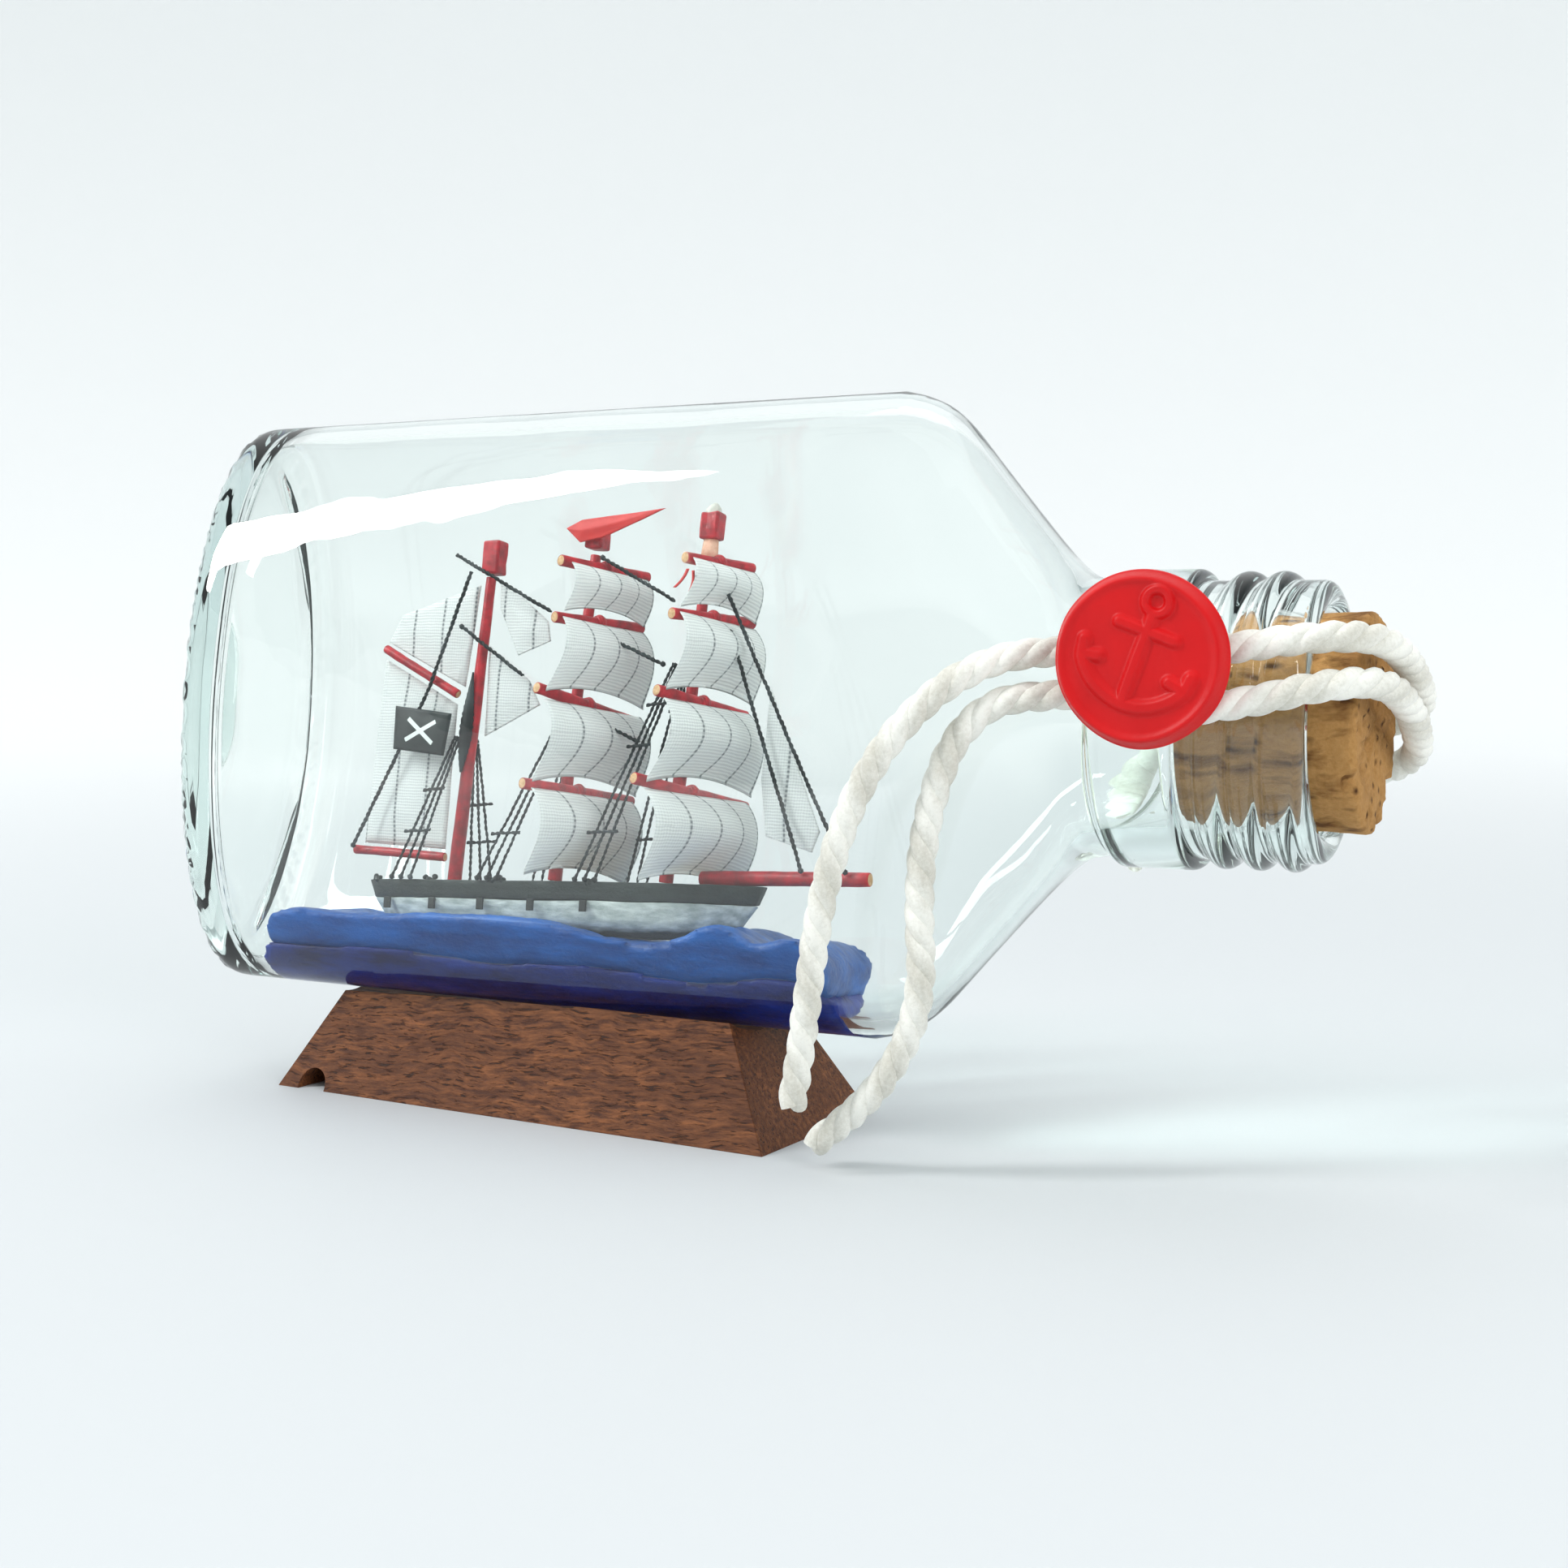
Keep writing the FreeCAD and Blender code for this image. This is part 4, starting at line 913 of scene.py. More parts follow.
def paintedHull(name, upper, lower, wet):
    # carved softwood under thin brushed paint, darker below and where the brush ran dry
    material, tree, shader = newMaterial(name)
    coordinates = addNode(tree, "ShaderNodeTexCoord")
    where = coordinates.outputs["Object"]
    axes = addNode(tree, "ShaderNodeSeparateXYZ", {0: where})
    drawn = addNode(tree, "ShaderNodeMapping", {"Vector": where, "Scale": (0.3, 1.0, 1.0)})
    brush = addNode(tree, "ShaderNodeTexNoise", {"Vector": drawn.outputs[0], "Scale": per(0.7),
                                                 "Detail": 5.0})
    fine = addNode(tree, "ShaderNodeTexNoise", {"Vector": where, "Scale": per(0.3), "Detail": 4.0})
    # the hull's own level: it rises to the bow with the ship
    level = addNode(tree, "ShaderNodeMath", {0: axes.outputs["X"], 1: -math.tan(math.radians(hullRise)),
                                             2: axes.outputs["Z"]}, operation="MULTIPLY_ADD")
    wander = addNode(tree, "ShaderNodeMath", {0: brush.outputs["Fac"], 1: 0.0007, 2: level.outputs[0]},
                     operation="MULTIPLY_ADD")
    share = addNode(tree, "ShaderNodeMapRange", {"Value": wander.outputs[0], "From Min": wet * mm,
                                                 "From Max": (wet + 0.7) * mm})
    worn = addNode(tree, "ShaderNodeMapRange", {"Value": brush.outputs["Fac"], "From Min": 0.35,
                                                "From Max": 0.7})
    paint = addNode(tree, "ShaderNodeMix", {0: worn.outputs[0], 6: linear(upper[0]), 7: linear(upper[1])},
                    data_type="RGBA")
    colour = addNode(tree, "ShaderNodeMix", {0: share.outputs[0], 6: linear(lower), 7: paint.outputs[2]},
                     data_type="RGBA")
    tree.links.new(colour.outputs[2], shader.inputs["Base Color"])
    shader.inputs["Roughness"].default_value = 0.5
    height = addNode(tree, "ShaderNodeMath", {0: fine.outputs["Fac"], 1: 0.5, 2: brush.outputs["Fac"]},
                     operation="MULTIPLY_ADD")
    bump(tree, shader, height.outputs[0], 0.5, 0.2)
    return material


def plainPaint(name, low, high, size, roughness=0.45):
    # brush paint on wood: two close shades and a fine ridge
    material, tree, shader = newMaterial(name)
    coordinates = addNode(tree, "ShaderNodeTexCoord")
    patch = addNode(tree, "ShaderNodeTexNoise", {"Vector": coordinates.outputs["Object"], "Scale": per(size),
                                                 "Detail": 5.0, "Roughness": 0.6})
    share = addNode(tree, "ShaderNodeMapRange", {"Value": patch.outputs["Fac"], "From Min": 0.36,
                                                 "From Max": 0.66})
    colour = addNode(tree, "ShaderNodeMix", {0: share.outputs[0], 6: linear(low), 7: linear(high)},
                     data_type="RGBA")
    tree.links.new(colour.outputs[2], shader.inputs["Base Color"])
    shader.inputs["Roughness"].default_value = roughness
    bump(tree, shader, patch.outputs["Fac"], 0.4, 0.12)
    return material


def carvedCopy(name, node, material, bevel, rough, smooth=False):
    # the CAD shape with its arrises taken off and a knife-cut surface
    bm = copyOf(node)
    bmesh.ops.dissolve_limit(bm, angle_limit=math.radians(3), verts=bm.verts, edges=bm.edges)
    sharp = [e for e in bm.edges if e.is_manifold and e.calc_face_angle(0) > math.radians(35)]
    bmesh.ops.bevel(bm, geom=sharp, offset=bevel, segments=2, profile=0.5, affect="EDGES", material=-1,
                    clamp_overlap=True)
    bmesh.ops.triangulate(bm, faces=bm.faces)
    bmesh.ops.subdivide_edges(bm, edges=[e for e in bm.edges if e.calc_length() > 1.2], cuts=2,
                              use_grid_fill=True)
    bm.normal_update()
    for v in bm.verts:
        v.co += v.normal * rough * noise.noise(v.co * 0.8)
    bmesh.ops.recalc_face_normals(bm, faces=bm.faces)
    return pieceFrom(bm, name, [material], "bottle", [node], smooth=smooth)


def makeHull():
    side = paintedHull("brushedHullPaint", ("#9AA3A2", "#D9DEDC"), "#141C1A", 20.1)
    top = paintedHull("brushedBulwarkPaint", ("#0E1615", "#232D2B"), "#0C1211", 19.0)
    carvedCopy("hullLower", "hull_lower", side, hull["edge"], 0.1)
    carvedCopy("hullBulwark", "hull_bulwark", top, hull["edge"], 0.06)
    deck = plainPaint("bareDeck", "#6C5136", "#9A7A55", 0.6, 0.7)
    carvedCopy("hullDeck", "hull_deck", deck, hull["fineEdge"], 0.0)
    ports = plainPaint("portBlack", "#060808", "#121515", 0.5)
    carvedCopy("gunPorts", "gun_ports", ports, hull["fineEdge"], 0.0)
    clutter(top)


def clutter(material):
    # small lumps of dark glue and thread ends where the shrouds are tied off along the rail
    bm = bmesh.new()
    for x in (-20.2, -19.4, -12.9, -12.1, -11.2, -4.2, -3.4, -2.7, 7.6, 8.4):
        for _ in range(2):
            size = draw.uniform(0.22, 0.42)
            made = bmesh.ops.create_icosphere(bm, subdivisions=2, radius=size)
            spot = Vector((x + draw.uniform(-0.4, 0.4), -halfBeam(x) * 0.97,
                           hull["deck"] + draw.uniform(0.3, 0.75)))
            for v in made["verts"]:
                v.co = v.co * (1 + 0.3 * noise.noise(v.co * 3 + spot)) + spot
    pieceFrom(bm, "railGlue", [material], "bottle", place=hullPlace)


def halfBeam(x):
    outline = [(-21.2, 2.0), (-18.0, 3.4), (-10.0, 4.3), (2.0, 4.5), (14.0, 4.1), (21.0, 2.9), (26.4, 0.5)]
    for (x0, y0), (x1, y1) in zip(outline, outline[1:]):
        if x0 <= x <= x1:
            return y0 + (y1 - y0) * (x - x0) / (x1 - x0)
    return 1.0


makeHull()
print("hull done")


spar = {"around": 20, "bevel": 0.1}


def sparEnds(node):
    # the two end points and radii of a round CAD spar, in millimetres
    points = [v.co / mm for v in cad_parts[node].data.vertices]
    middle = sum(points, Vector()) / len(points)
    axis = (max(points, key=lambda p: (p - middle).length) - middle).normalized()
    for _ in range(3):
        heights = [(p - middle).dot(axis) for p in points]
        low, high = min(heights), max(heights)
        skip = 0.06 * (high - low)
        near = [p for p, height in zip(points, heights) if height < low + skip]
        far = [p for p, height in zip(points, heights) if height > high - skip]
        a, b = sum(near, Vector()) / len(near), sum(far, Vector()) / len(far)
        axis = (b - a).normalized()
    radii = [sum((p - end).cross(axis).length for p in group) / len(group)
             for group, end in ((near, a), (far, b))]
    return a, b, radii[0], radii[1]


def makeSpar(name, node, paint, cut, wraps=()):
    a, b, r0, r1 = sparEnds(node)
    length = (b - a).length
    bm = bmesh.new()
    bmesh.ops.create_cone(bm, cap_ends=True, cap_tris=False, segments=spar["around"], radius1=r0 * 0.98,
                          radius2=r1 * 0.98, depth=length)
    for f in bm.faces:
        f.material_index = 1 if len(f.verts) > 4 else 0
    rims = [e for e in bm.edges if {f.material_index for f in e.link_faces} == {0, 1}]
    bmesh.ops.bevel(bm, geom=rims, offset=spar["bevel"], segments=2, profile=0.5, affect="EDGES", material=0)
    for k in range(1, 16):
        crossCut(bm, length * (k / 16 - 0.5))
    for v in bm.verts:
        away = Vector((v.co.x, v.co.y, 0))
        v.co += away * 0.1 * noise.noise(v.co * 0.9 + a)
    for place, wide, extra in wraps:
        made = bmesh.ops.create_cone(bm, cap_ends=True, segments=spar["around"], depth=wide,
                                     radius1=r0 + extra, radius2=r1 + extra)
        bmesh.ops.translate(bm, vec=(0, 0, length * (place - 0.5)), verts=made["verts"])
        ringEdges = [e for e in bm.edges if all(v in set(made["verts"]) for v in e.verts)
                     and abs(e.verts[0].co.z - e.verts[1].co.z) < 1e-4]
        bmesh.ops.bevel(bm, geom=ringEdges, offset=min(extra, wide / 3), segments=2, profile=0.5,
                        affect="EDGES", material=-1)
    bmesh.ops.recalc_face_normals(bm, faces=bm.faces)
    turn = (b - a).to_track_quat("Z", "Y").to_matrix().to_4x4()
    place = Matrix.Translation((a + b) / 2) @ turn
    return pieceFrom(bm, name, [paint, cut], "bottle", [node], place)


def makeSpars():
    red = plainPaint("redBrushPaint", "#8A0214", "#C60A22", 1.2, 0.42)
    cut = plainPaint("cutEndGrain", "#C08F63", "#E2BD93", 0.35, 0.75)
    bare = plainPaint("peachBareWood", "#D79C80", "#F0C4AC", 0.9, 0.65)
    for node in ("fore_mast", "main_mast", "mizzen_mast", "gaff", "boom", "bowsprit"):
        name = node.split("_")[0] + ("Mast" if "mast" in node else "Spar")
        makeSpar(name, node, red, cut)
    for node in sorted(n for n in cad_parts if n.endswith("_yard")):
        words = node.split("_")
        name = words[0] + words[1].capitalize() + "Yard"
        paint = halfPainted(red) if node == "fore_royal_yard" else red
        makeSpar(name, node, paint, cut, [(0.5, 1.1, 0.17), (0.5, 0.45, 0.3)])
    for node in ("fore_masthead", "main_masthead", "mizzen_masthead"):
        name = node.split("_")[0] + "Masthead"
        carvedCopy(name, node, red, 0.25, 0.12)
    collarOfBareWood(bare)
    blackWrap()
    glueTip()


def halfPainted(red):
    # the royal yard's near half was left bare
    material = red.copy()
    material.name = "halfPaintedWood"
    tree = material.node_tree
    shader = tree.nodes["Principled BSDF"]
    ground = shader.inputs["Base Color"].links[0].from_socket
    coordinates = addNode(tree, "ShaderNodeTexCoord")
    axes = addNode(tree, "ShaderNodeSeparateXYZ", {0: coordinates.outputs["Object"]})
    share = addNode(tree, "ShaderNodeMapRange", {"Value": axes.outputs["X"], "From Min": 0.0165,
                                                 "From Max": 0.0172})
    colour = addNode(tree, "ShaderNodeMix", {0: share.outputs[0], 6: linear("#EBB9A4"), 7: ground},
                     data_type="RGBA")
    tree.links.new(colour.outputs[2], shader.inputs["Base Color"])
    return material


def collarOfBareWood(material):
    # the fore mast is left unpainted between its head and the royal yard
    bm = bmesh.new()
    bmesh.ops.create_cone(bm, cap_ends=True, segments=24, radius1=0.98, radius2=0.78, depth=2.6)
    for v in bm.verts:
        v.co *= 1 + 0.12 * noise.noise(v.co * 1.3)
    place = shipPlace @ Matrix.Translation((16.9, 0, 16.7))
    pieceFrom(bm, "foreBareWood", [material], "bottle", place=place)


def glueTip():
    bm = bmesh.new()
    bmesh.ops.create_icosphere(bm, subdivisions=3, radius=0.8)
    for v in bm.verts:
        v.co.z *= 1.25
        v.co *= 1 + 0.25 * noise.noise(v.co * 1.1 + Vector((4, 0, 0)))
    material, tree, shader = newMaterial("driedGlue")
    shader.inputs["Base Color"].default_value = linear("#E8E6DC")
    shader.inputs["Roughness"].default_value = 0.3
    shader.inputs["Transmission Weight"].default_value = 0.3
    coordinates = addNode(tree, "ShaderNodeTexCoord")
    lump = addNode(tree, "ShaderNodeTexNoise", {"Vector": coordinates.outputs["Object"], "Scale": per(0.6)})
    bump(tree, shader, lump.outputs["Fac"], 0.4, 0.2)
    place = shipPlace @ Matrix.Translation((17.0, 0, 20.7))
    pieceFrom(bm, "foreGlue", [material], "bottle", place=place)


def waxedThread():
    # waxed black thread: two plies, near black, with a dull sheen painted as lighter bands along each turn
    material, tree, shader = newMaterial("waxedBlackThread")
    coordinates = addNode(tree, "ShaderNodeTexCoord")
    turned = addNode(tree, "ShaderNodeMapping", {"Vector": coordinates.outputs["Object"],
                                                 "Rotation": (0.6, 0.5, 0)})
    turns = addNode(tree, "ShaderNodeTexWave", {"Vector": turned.outputs[0], "Scale": per(0.9) / 20,
                                                "Distortion": 2.0, "Detail": 2.0}, bands_direction="Z")
    fuzz = addNode(tree, "ShaderNodeTexNoise", {"Vector": coordinates.outputs["Object"], "Scale": per(0.4),
                                                "Detail": 3.0})
    # painted sheen: the colour is lighter along each band of the turns
    shade = addNode(tree, "ShaderNodeMapRange", {"Value": turns.outputs["Fac"], "From Min": 0.45,
                                                 "From Max": 0.9})
    colour = addNode(tree, "ShaderNodeMix", {0: shade.outputs[0], 6: linear("#040506"), 7: linear("#33383A")},
                     data_type="RGBA")
    tree.links.new(colour.outputs[2], shader.inputs["Base Color"])
    shader.inputs["Roughness"].default_value = 0.6
    height = addNode(tree, "ShaderNodeMath", {0: fuzz.outputs["Fac"], 1: 0.4, 2: turns.outputs["Fac"]},
                     operation="MULTIPLY_ADD")
    bump(tree, shader, height.outputs[0], 0.5, 0.12)
    return material


blackThread = waxedThread()


binding = {"length": 11.0, "turns": 40}


def blackWrap():
    # thread bound round the mizzen mast where its shrouds are made fast
    bm = bmesh.new()
    bmesh.ops.create_cone(bm, cap_ends=True, segments=20, radius1=1.0, radius2=1.0,
                          depth=binding["length"])
    for k in range(1, binding["turns"]):
        crossCut(bm, binding["length"] * (k / binding["turns"] - 0.5))
    for v in bm.verts:
        share = v.co.z / binding["length"] + 0.5
        full = (0.12 + 0.62 * math.sin(math.pi * share ** 0.8) ** 1.3) * (1 + 0.1 * math.sin(v.co.z * 9))
        v.co.x *= full
        v.co.y *= 0.8 * full
    tilt = Matrix.Rotation(math.radians(2.6), 4, "Y")
    place = shipPlace @ Matrix.Translation((-11.0, -0.85, -2.0)) @ tilt
    pieceFrom(bm, "mizzenBinding", [blackThread], "bottle", place=place)


makeSpars()
print("spars done")


cloth = {"thick": 0.14, "across": 30, "down": 22, "warp": 0.32, "panel": 4.0}
brace = 18.0
yardRadius = 0.62
# yard's mast side x and level; foot's x and level; half widths at head and foot; drop of the foot; belly
squareSails = {
    "fore_royal_sail": ((18.1, 15.3), (17.9, 10.6), 4.6, 5.6, 0.5, 2.2),
    "fore_topgallant_sail": ((17.9, 9.5), (17.6, 2.0), 5.6, 6.4, 0.5, 3.4),
    "fore_topsail": ((17.4, 0.6), (17.2, -7.4), 6.3, 7.6, 0.6, 4.0),
    "fore_course_sail": ((16.9, -8.7), (17.0, -17.3), 7.4, 7.4, 0.6, 4.2),
    "main_royal_sail": ((4.3, 14.8), (4.2, 10.2), 5.4, 5.8, 0.5, 2.2),
    "main_topgallant_sail": ((4.1, 9.0), (3.8, 1.6), 5.8, 7.0, 0.5, 3.2),
    "main_topsail": ((3.7, 0.2), (3.4, -7.8), 6.9, 7.4, 0.6, 3.8),
    "main_course_sail": ((3.3, -9.1), (3.2, -17.4), 7.2, 7.2, 0.6, 4.0),
}
# fore-and-aft sails: corners (x, z) in the ship's middle plane, offset across, and how far they fill
flatSails = {
    "spanker": ([(-13.1, 0.0), (-23.4, 5.0), (-24.0, -15.6), (-13.1, -15.8)], 0.12, -0.5),
    "gaff_topsail": ([(-11.6, 13.2), (-21.9, 9.9), (-23.4, 6.9), (-12.5, 2.0)], 0.42, -0.3),
    "mizzen_staysail_upper": ([(-8.8, 13.4), (-7.7, 13.2), (-2.4, 9.3), (-1.9, 7.2), (-5.9, 5.6),
                               (-8.6, 10.6)],
                              0.32, -0.3),
    "mizzen_staysail_lower": ([(-9.6, 6.6), (-4.2, 2.9), (-2.6, 0.2), (-9.3, -3.4)], 0.32, -0.3),
    "jib": ([(25.3, 2.4), (31.9, -12.1), (31.2, -14.2), (25.9, -12.8), (24.9, -7.0)], 0.12, -0.4),
}


def sailcloth():
    # starched open-weave cotton: white, half see-through, with grey machine seams; a real thread is
    # about 0.2 mm apart, drawn at twice that so that the weave shows
    material, tree, shader = newMaterial("starchedSailcloth")
    uv = addNode(tree, "ShaderNodeUVMap", uv_map="cloth")
    axes = addNode(tree, "ShaderNodeSeparateXYZ", {0: uv.outputs["UV"]})
    coordinates = addNode(tree, "ShaderNodeTexCoord")
    uneven = addNode(tree, "ShaderNodeTexNoise", {"Vector": coordinates.outputs["Object"], "Scale": per(1.2),
                                                  "Detail": 3.0})
    threads = []
    for axis, spacing in (("X", cloth["warp"] * 0.9), ("Y", cloth["warp"])):
        moved = addNode(tree, "ShaderNodeMath", {0: uneven.outputs["Fac"], 1: 0.25, 2: axes.outputs[axis]},
                        operation="MULTIPLY_ADD")
        turns = addNode(tree, "ShaderNodeMath", {0: moved.outputs[0], 1: 2 * math.pi / spacing},
                        operation="MULTIPLY")
        threads.append(addNode(tree, "ShaderNodeMath", {0: turns.outputs[0]}, operation="SINE"))
    weave = addNode(tree, "ShaderNodeMath", {0: threads[0].outputs[0], 1: 0.45, 2: threads[1].outputs[0]},
                    operation="MULTIPLY_ADD")
    # the weave's pattern, with its low places between the threads painted darker as shade
    shade = addNode(tree, "ShaderNodeMapRange", {"Value": weave.outputs[0], "From Min": -1.3,
                                                 "From Max": 0.9})
    base = addNode(tree, "ShaderNodeMix", {0: shade.outputs[0], 6: linear("#E2E2E3"), 7: linear("#FDFDFC")},
                   data_type="RGBA")
    # seams lie a panel apart; U counts panels times four millimetres, and V runs down the sail in millimetres
    panel = addNode(tree, "ShaderNodeMath", {0: axes.outputs["X"], 1: cloth["panel"]}, operation="DIVIDE")
    nearest = addNode(tree, "ShaderNodeMath", {0: panel.outputs[0]}, operation="ROUND")
    apart = addNode(tree, "ShaderNodeMath", {0: panel.outputs[0], 1: nearest.outputs[0]},
                    operation="SUBTRACT")
    gap = addNode(tree, "ShaderNodeMath", {0: apart.outputs[0]}, operation="ABSOLUTE")
    line = addNode(tree, "ShaderNodeMapRange", {"Value": gap.outputs[0], "From Min": 0.018, "From Max": 0.05,
                                                "To Min": 1.0, "To Max": 0.0})
    stitch = addNode(tree, "ShaderNodeMath", {0: axes.outputs["Y"], 1: 2 * math.pi / 0.5},
                     operation="MULTIPLY")
    wave = addNode(tree, "ShaderNodeMath", {0: stitch.outputs[0]}, operation="SINE")
    dash = addNode(tree, "ShaderNodeMapRange", {"Value": wave.outputs[0], "From Min": -0.5, "From Max": 0.3,
                                                "To Min": 0.35, "To Max": 0.85})
    seam = addNode(tree, "ShaderNodeMath", {0: line.outputs[0], 1: dash.outputs[0]}, operation="MULTIPLY")
    colour = addNode(tree, "ShaderNodeMix", {0: seam.outputs[0], 6: base.outputs[2], 7: linear("#73777B")},
                     data_type="RGBA")
    tree.links.new(colour.outputs[2], shader.inputs["Base Color"])
    shader.inputs["Roughness"].default_value = 0.9
    shader.inputs["Specular IOR Level"].default_value = 0.2
    bump(tree, shader, weave.outputs[0], 0.3, 0.05)
    glow = addNode(tree, "ShaderNodeBsdfTranslucent", {"Color": colour.outputs[2]})
    mix = addNode(tree, "ShaderNodeMixShader", {0: 0.3, 1: shader.outputs[0], 2: glow.outputs[0]})
    tree.links.new(mix.outputs[0], tree.nodes["Material Output"].inputs["Surface"])
    return material


def thicken(bm, thick):
    bmesh.ops.solidify(bm, geom=list(bm.faces), thickness=thick)
    bmesh.ops.recalc_face_normals(bm, faces=bm.faces)


def squareSail(node, shape, material):
    (x, level), (footX, footLevel), headHalf, footHalf, drop, belly = shape
    height = level - footLevel
    start = yardRadius + 0.3 + 0.1
    bm = bmesh.new()
    bmesh.ops.create_grid(bm, x_segments=cloth["across"], y_segments=cloth["down"], size=1.0)
    layer = bm.loops.layers.uv.new("cloth")
    panels = {v: (v.co.x, (1 - v.co.y) / 2) for v in bm.verts}
    for face in bm.faces:
        for loop in face.loops:
            s, t = panels[loop.vert]
            loop[layer].uv = (s * 8.0 + 0.2, t * height)
    for v, (s, t) in panels.items():
        fill = belly * math.sin(math.pi * min(1.0, t * 1.05) ** 0.85) * (1 - 0.5 * s * s)
        half = headHalf + (footHalf - headHalf) * t
        crease = 0.1 * noise.noise(Vector((s * 2.6, t * 2.2, x)))
        v.co = Vector((start - 0.15 + (footX - x) * t + fill + crease, s * half,
                       -0.25 - height * t - drop * t * t * (s * s - 0.5) * 2))
    thicken(bm, cloth["thick"])
    turn = Matrix.Rotation(math.radians(-brace), 4, "Z")
    place = shipPlace @ Matrix.Translation((x, 0, level)) @ turn
    words = node.split("_")
    name = words[0] + "".join(w.capitalize() for w in words[1:])
    pieceFrom(bm, name, [material], "bottle", [node], place)


def flatSail(node, shape, material, name, cuts=4):
    corners, across, fill = shape
    bm = bmesh.new()
    face = bm.faces.new([bm.verts.new((x, across, z)) for x, z in corners])
    layer = bm.loops.layers.uv.new("cloth")
    for loop in face.loops:
        loop[layer].uv = (loop.vert.co.x, -loop.vert.co.z)
    bmesh.ops.triangulate(bm, faces=bm.faces)
    for _ in range(cuts):
        bmesh.ops.subdivide_edges(bm, edges=bm.edges, cuts=1, use_grid_fill=True)
    xs = [x for x, z in corners]
    zs = [z for x, z in corners]
    outline = [Vector((x, z, 0)) for x, z in corners]
    for v in bm.verts:
        spot = Vector((v.co.x, v.co.z, 0))
        edge = min(edgeGap(spot, a, b) for a, b in zip(outline, outline[1:] + outline[:1]))
        size = 0.35 * min(max(xs) - min(xs), max(zs) - min(zs))
        v.co.y += fill * smoothStep(0, size, edge) + 0.05 * noise.noise(spot * 0.5)
    thicken(bm, cloth["thick"])
    return pieceFrom(bm, name, [material], "bottle", [node], shipPlace)


def makeSails():
    material = sailcloth()
    for node, shape in squareSails.items():
        squareSail(node, shape, material)
    names = {"spanker": "spankerCloth", "gaff_topsail": "gaffTopsail",
             "mizzen_staysail_upper": "upperStaysail", "mizzen_staysail_lower": "lowerStaysail",
             "jib": "jibCloth"}
    for node, shape in flatSails.items():
        piece = flatSail(node, shape, material, names[node])


makeSails()
print("sails done")


def stiffCloth(name, low, high):
    # painted paper-like cloth, slightly shiny at the folds
    material, tree, shader = newMaterial(name)
    coordinates = addNode(tree, "ShaderNodeTexCoord")
    patch = addNode(tree, "ShaderNodeTexNoise", {"Vector": coordinates.outputs["Object"], "Scale": per(1.5),
                                                 "Detail": 4.0})
    colour = addNode(tree, "ShaderNodeMix", {0: patch.outputs["Fac"], 6: linear(low), 7: linear(high)},
                     data_type="RGBA")
    tree.links.new(colour.outputs[2], shader.inputs["Base Color"])
    shader.inputs["Roughness"].default_value = 0.55
    bump(tree, shader, patch.outputs["Fac"], 0.4, 0.15)
    return material


def makeFlags():
    red = stiffCloth("redFlagCloth", "#B01018", "#E0342C")
    black = stiffCloth("blackFlagCloth", "#070A0B", "#1A2122")
    crossOn(black)
    flatSail("pennant", ([(0.1, 18.9), (2.0, 19.8), (12.0, 20.9), (4.6, 17.9), (1.9, 17.4)], -1.48, -0.25),
             red, "pennantCloth")
    flatSail("flag", ([(-19.8, -0.5), (-12.2, -1.3), (-12.8, -5.9), (-19.6, -5.3)], -2.08, -0.15), black,
             "flagCloth")
    ribbons(red)


def ribbons(material):
    bm = bmesh.new()
    for top, bottom in (((14.9, 14.6), (13.5, 12.6)), ((15.6, 14.4), (15.3, 11.9))):
        x, z = top
        u, w = bottom
        made = bmesh.ops.create_grid(bm, x_segments=1, y_segments=10, size=0.5)
        for v in made["verts"]:
            share = 0.5 - v.co.y
            v.co = Vector((x + (u - x) * share + 0.35 * v.co.x + 0.25 * math.sin(share * 3),
                           -0.95 - 0.12 * share, z + (w - z) * share))
    bmesh.ops.solidify(bm, geom=list(bm.faces), thickness=0.1)
    bmesh.ops.recalc_face_normals(bm, faces=bm.faces)
    pieceFrom(bm, "foreRibbons", [material], "bottle", ["fore_ribbons"], shipPlace)


def crossOn(material):
    # a plain white diagonal cross painted in the middle of the cloth
    tree = material.node_tree
    shader = tree.nodes["Principled BSDF"]
    ground = shader.inputs["Base Color"].links[0].from_socket
    uv = addNode(tree, "ShaderNodeUVMap", uv_map="cloth")
    centred = addNode(tree, "ShaderNodeVectorMath", {0: uv.outputs["UV"], 1: (-16.1, 3.25, 0)},
                      operation="SUBTRACT")
    bars = []
    for angle in (28, -38):
        turned = addNode(tree, "ShaderNodeVectorRotate", {"Vector": centred.outputs[0],
                                                          "Angle": math.radians(angle)},
                         rotation_type="Z_AXIS")
        axes = addNode(tree, "ShaderNodeSeparateXYZ", {0: turned.outputs[0]})
        across = addNode(tree, "ShaderNodeMath", {0: axes.outputs["Y"]}, operation="ABSOLUTE")
        along = addNode(tree, "ShaderNodeMath", {0: axes.outputs["X"]}, operation="ABSOLUTE")
        thin = addNode(tree, "ShaderNodeMath", {0: across.outputs[0], 1: 0.24}, operation="LESS_THAN")
        short = addNode(tree, "ShaderNodeMath", {0: along.outputs[0], 1: 2.2}, operation="LESS_THAN")
        bars.append(addNode(tree, "ShaderNodeMath", {0: thin.outputs[0], 1: short.outputs[0]},
                            operation="MULTIPLY"))
    cross = addNode(tree, "ShaderNodeMath", {0: bars[0].outputs[0], 1: bars[1].outputs[0]},
                    operation="MAXIMUM")
    painted = addNode(tree, "ShaderNodeMix", {0: cross.outputs[0], 6: ground, 7: linear("#E6E8E7")},
                      data_type="RGBA")
    tree.links.new(painted.outputs[2], shader.inputs["Base Color"])


makeFlags()
print("flags done")


rig = {"thread": 0.22, "shroud": 0.16, "bar": 0.18, "knot": 0.34, "step": 0.16, "lay": 1.3,
       "mastSide": 1.05, "railSide": 4.75}


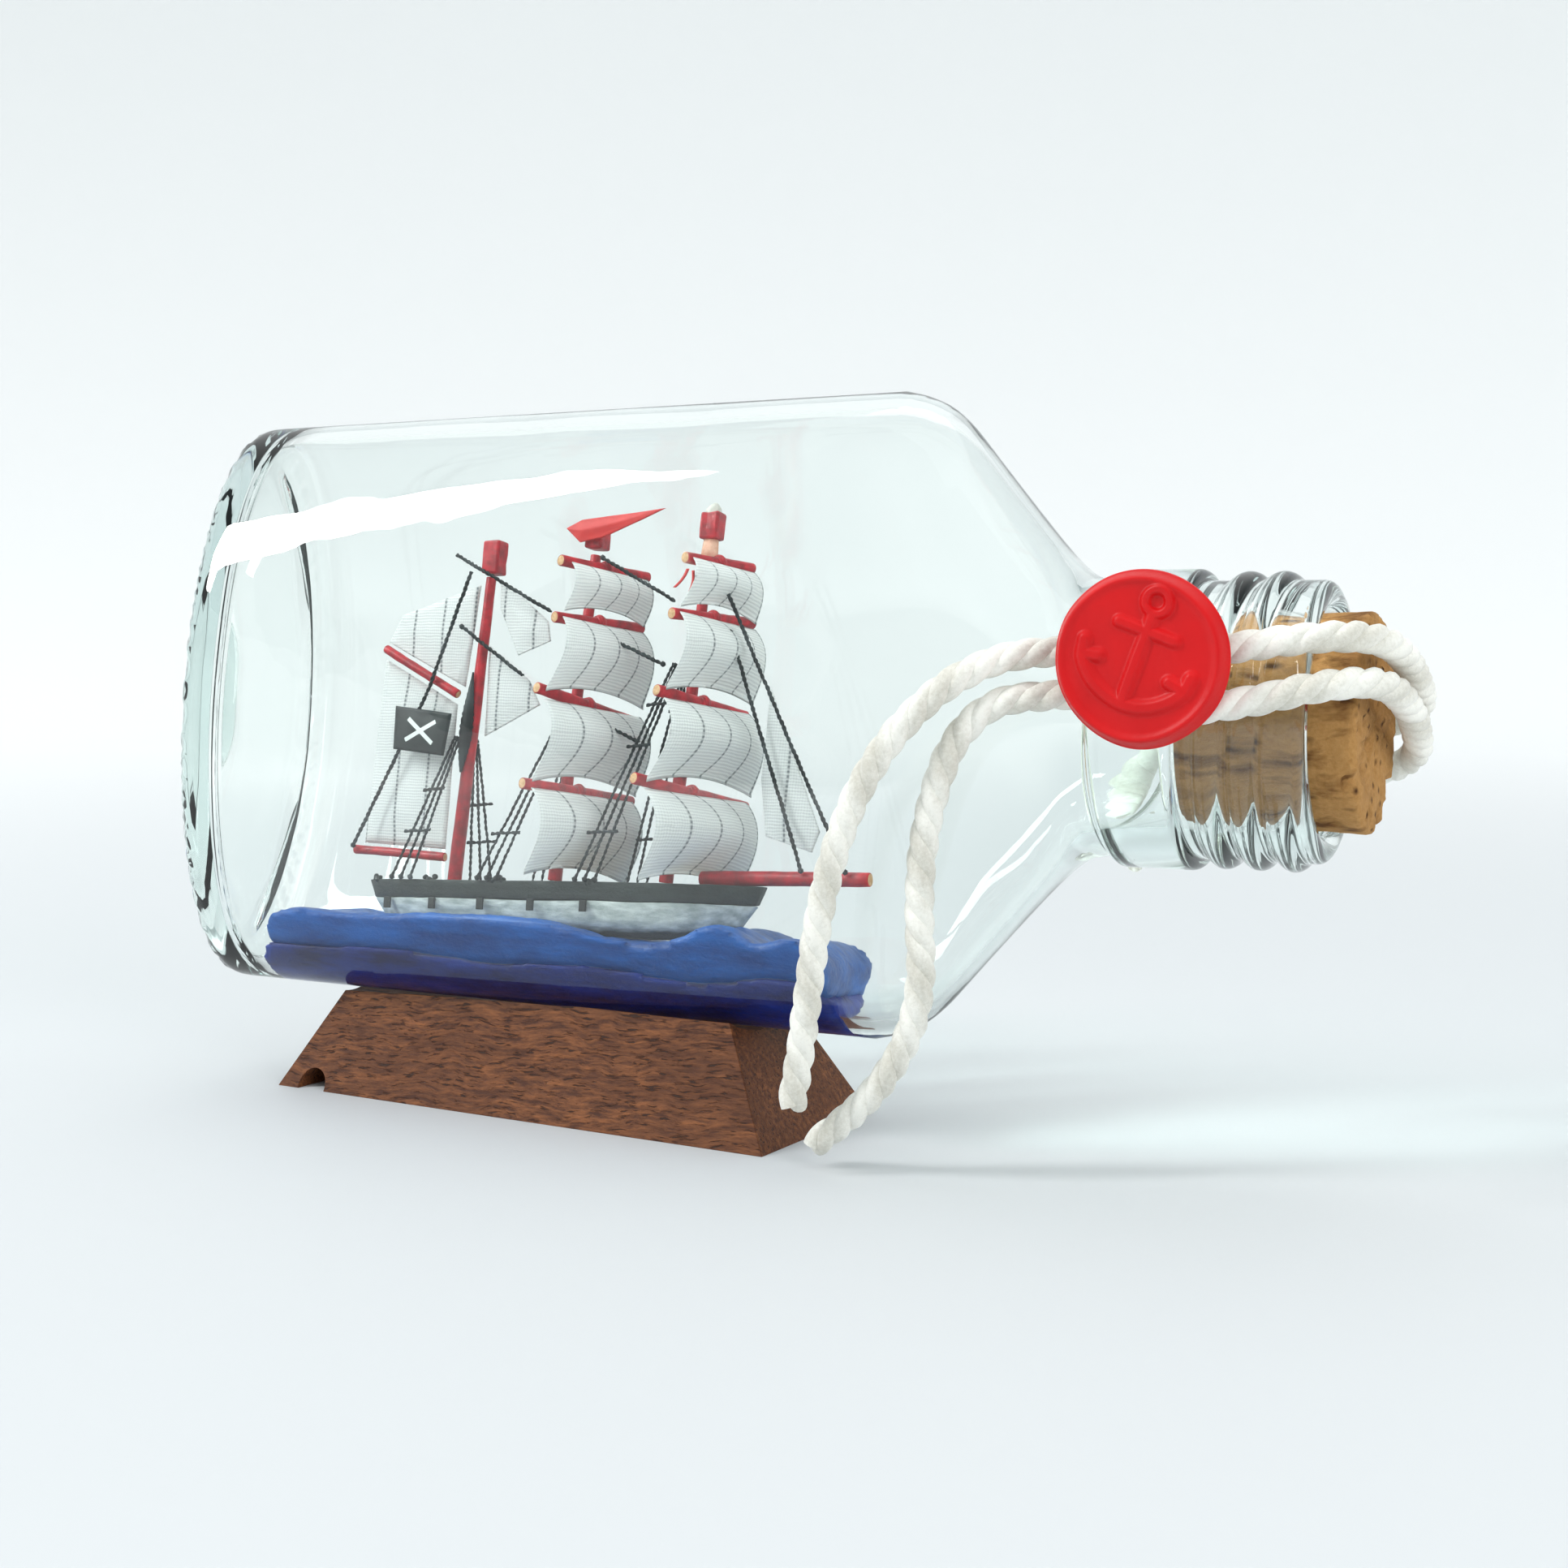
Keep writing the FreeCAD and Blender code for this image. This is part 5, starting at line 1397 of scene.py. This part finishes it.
def threadPlies(a, b, radius):
    # two plies laid round each other from a to b
    a, b = Vector(a), Vector(b)
    count = max(8, int((b - a).length / rig["step"]))
    along = (b - a).normalized()
    side = along.orthogonal().normalized()
    other = along.cross(side)
    lines = []
    for start in (0, math.pi):
        line = []
        for k in range(count + 1):
            point = a.lerp(b, k / count)
            turn = start + 2 * math.pi * k * rig["step"] / rig["lay"]
            wander = 0.05 * noise.noise_vector(point * 0.8)
            aside = (side * math.cos(turn) + other * math.sin(turn)) * 0.5 * radius
            line.append((shipPlace @ (point + wander + aside) * mm, 0.62 * radius * mm))
        lines.append(line)
    return lines


def riggingPiece(name, node, runs, radius, knots=()):
    mesh = tubesMesh(name, [line for a, b in runs for line in threadPlies(a, b, radius)], resolution=0)
    bm = bmesh.new()
    bm.from_mesh(mesh)
    for spot in knots:
        made = bmesh.ops.create_icosphere(bm, subdivisions=1, radius=rig["knot"] * mm)
        centre = shipPlace @ Vector(spot) * mm
        bmesh.ops.translate(bm, vec=centre, verts=made["verts"])
    bm.to_mesh(mesh)
    bm.free()
    pieceFromMesh(mesh, name, [blackThread], "bottle", [node])


def railLevel(x):
    # just above the rail, which rises to the bow with the hull
    return hull["deck"] + 0.6 + 0.038 * (x - 2)


def shroudRuns(top, feet, side):
    return [((top[0] - 0.125 * (len(feet) - 1) + 0.25 * k, side * rig["mastSide"], top[1] - 0.3 * k),
             (foot, side * rig["railSide"], railLevel(foot))) for k, foot in enumerate(feet)]


def barRuns(top, feet, side, levels):
    runs = []
    base = railLevel(feet[0])
    for level in levels:
        share = (top[1] - level) / (top[1] - base)
        x0 = top[0] + (feet[0] - top[0]) * share - 0.9
        x1 = top[0] + (feet[-1] - top[0]) * share + 0.9
        y = side * (rig["mastSide"] + (rig["railSide"] - rig["mastSide"]) * share + 0.42)
        runs.append(((x0, y, level - 0.15), (x1, y, level + 0.15)))
    return runs


shrouds = {
    "mizzen": [((-11.9, -3.6), (-16.4, -15.2, -14.0), -1, (-9.6, -14.2)),
               ((-10.9, -3.6), (-12.6, -11.2, -9.8), 1, (-10.6, -14.6))],
    "main": [((1.0, -1.6), (-5.4, -4.2, -3.0), -1, (-14.0,)), ((1.0, -1.6), (-4.6, -3.4, -2.2), 1, (-14.0,))],
    "fore": [((14.4, 4.6), (6.6, 7.8, 9.0), -1, (0.2, -4.2, -13.4)),
             ((14.4, 4.6), (7.4, 8.6, 9.8), 1, (0.2, -13.4))],
}


def makeRigging():
    bars = []
    for name, fans in shrouds.items():
        runs = []
        knots = []
        for top, feet, side, levels in fans:
            runs += shroudRuns(top, feet, side)
            bars += barRuns(top, feet, side, levels)
            knots.append((top[0], side * 1.1, top[1] - 0.3))
            knots += [(foot, side * rig["railSide"], railLevel(foot)) for foot in feet]
        riggingPiece(name + "Shrouds", name + "_shrouds", runs, rig["shroud"], knots)
    riggingPiece("ratlineBars", "ratline_bars", bars, rig["bar"])
    riggingPiece("foreStays", "fore_stays", [((18.4, -1.0, 14.8), (35.6, -1.1, -16.2)),
                                             ((20.6, -1.0, 7.9), (30.7, -1.1, -16.2))], rig["thread"],
                 [(35.4, -1.0, -16.0), (30.6, -1.0, -16.1), (20.6, -1.0, 7.9)])
    riggingPiece("mainStays", "main_stays", [((4.4, -0.9, 15.9), (13.6, -0.9, 11.2)),
                                             ((4.2, -0.9, 8.0), (13.0, -0.9, 4.4)),
                                             ((4.0, -0.9, -0.9), (10.8, -0.9, -3.6))], rig["thread"],
                 [(4.4, -0.9, 15.9), (12.8, -0.9, 4.5), (4.0, -0.9, -0.9)])
    riggingPiece("mizzenStays", "mizzen_stays", [((-14.2, -1.0, 16.4), (-9.4, -1.9, 14.1)),
                                                 ((-9.4, -1.9, 14.1), (-1.4, -1.0, 10.1)),
                                                 ((-12.5, -1.4, 8.5), (-4.3, -1.0, 3.2))], rig["thread"],
                 [(-12.4, -1.4, 8.4)])
    riggingPiece("backstayThread", "backstay", [((-11.8, -1.3, 14.4), (-16.3, -1.5, 1.0)),
                                                ((-16.3, -1.5, 1.0), (-24.7, -1.2, -16.2))], rig["thread"],
                 [(-24.6, -1.2, -16.0)])


makeRigging()
print("rigging done")
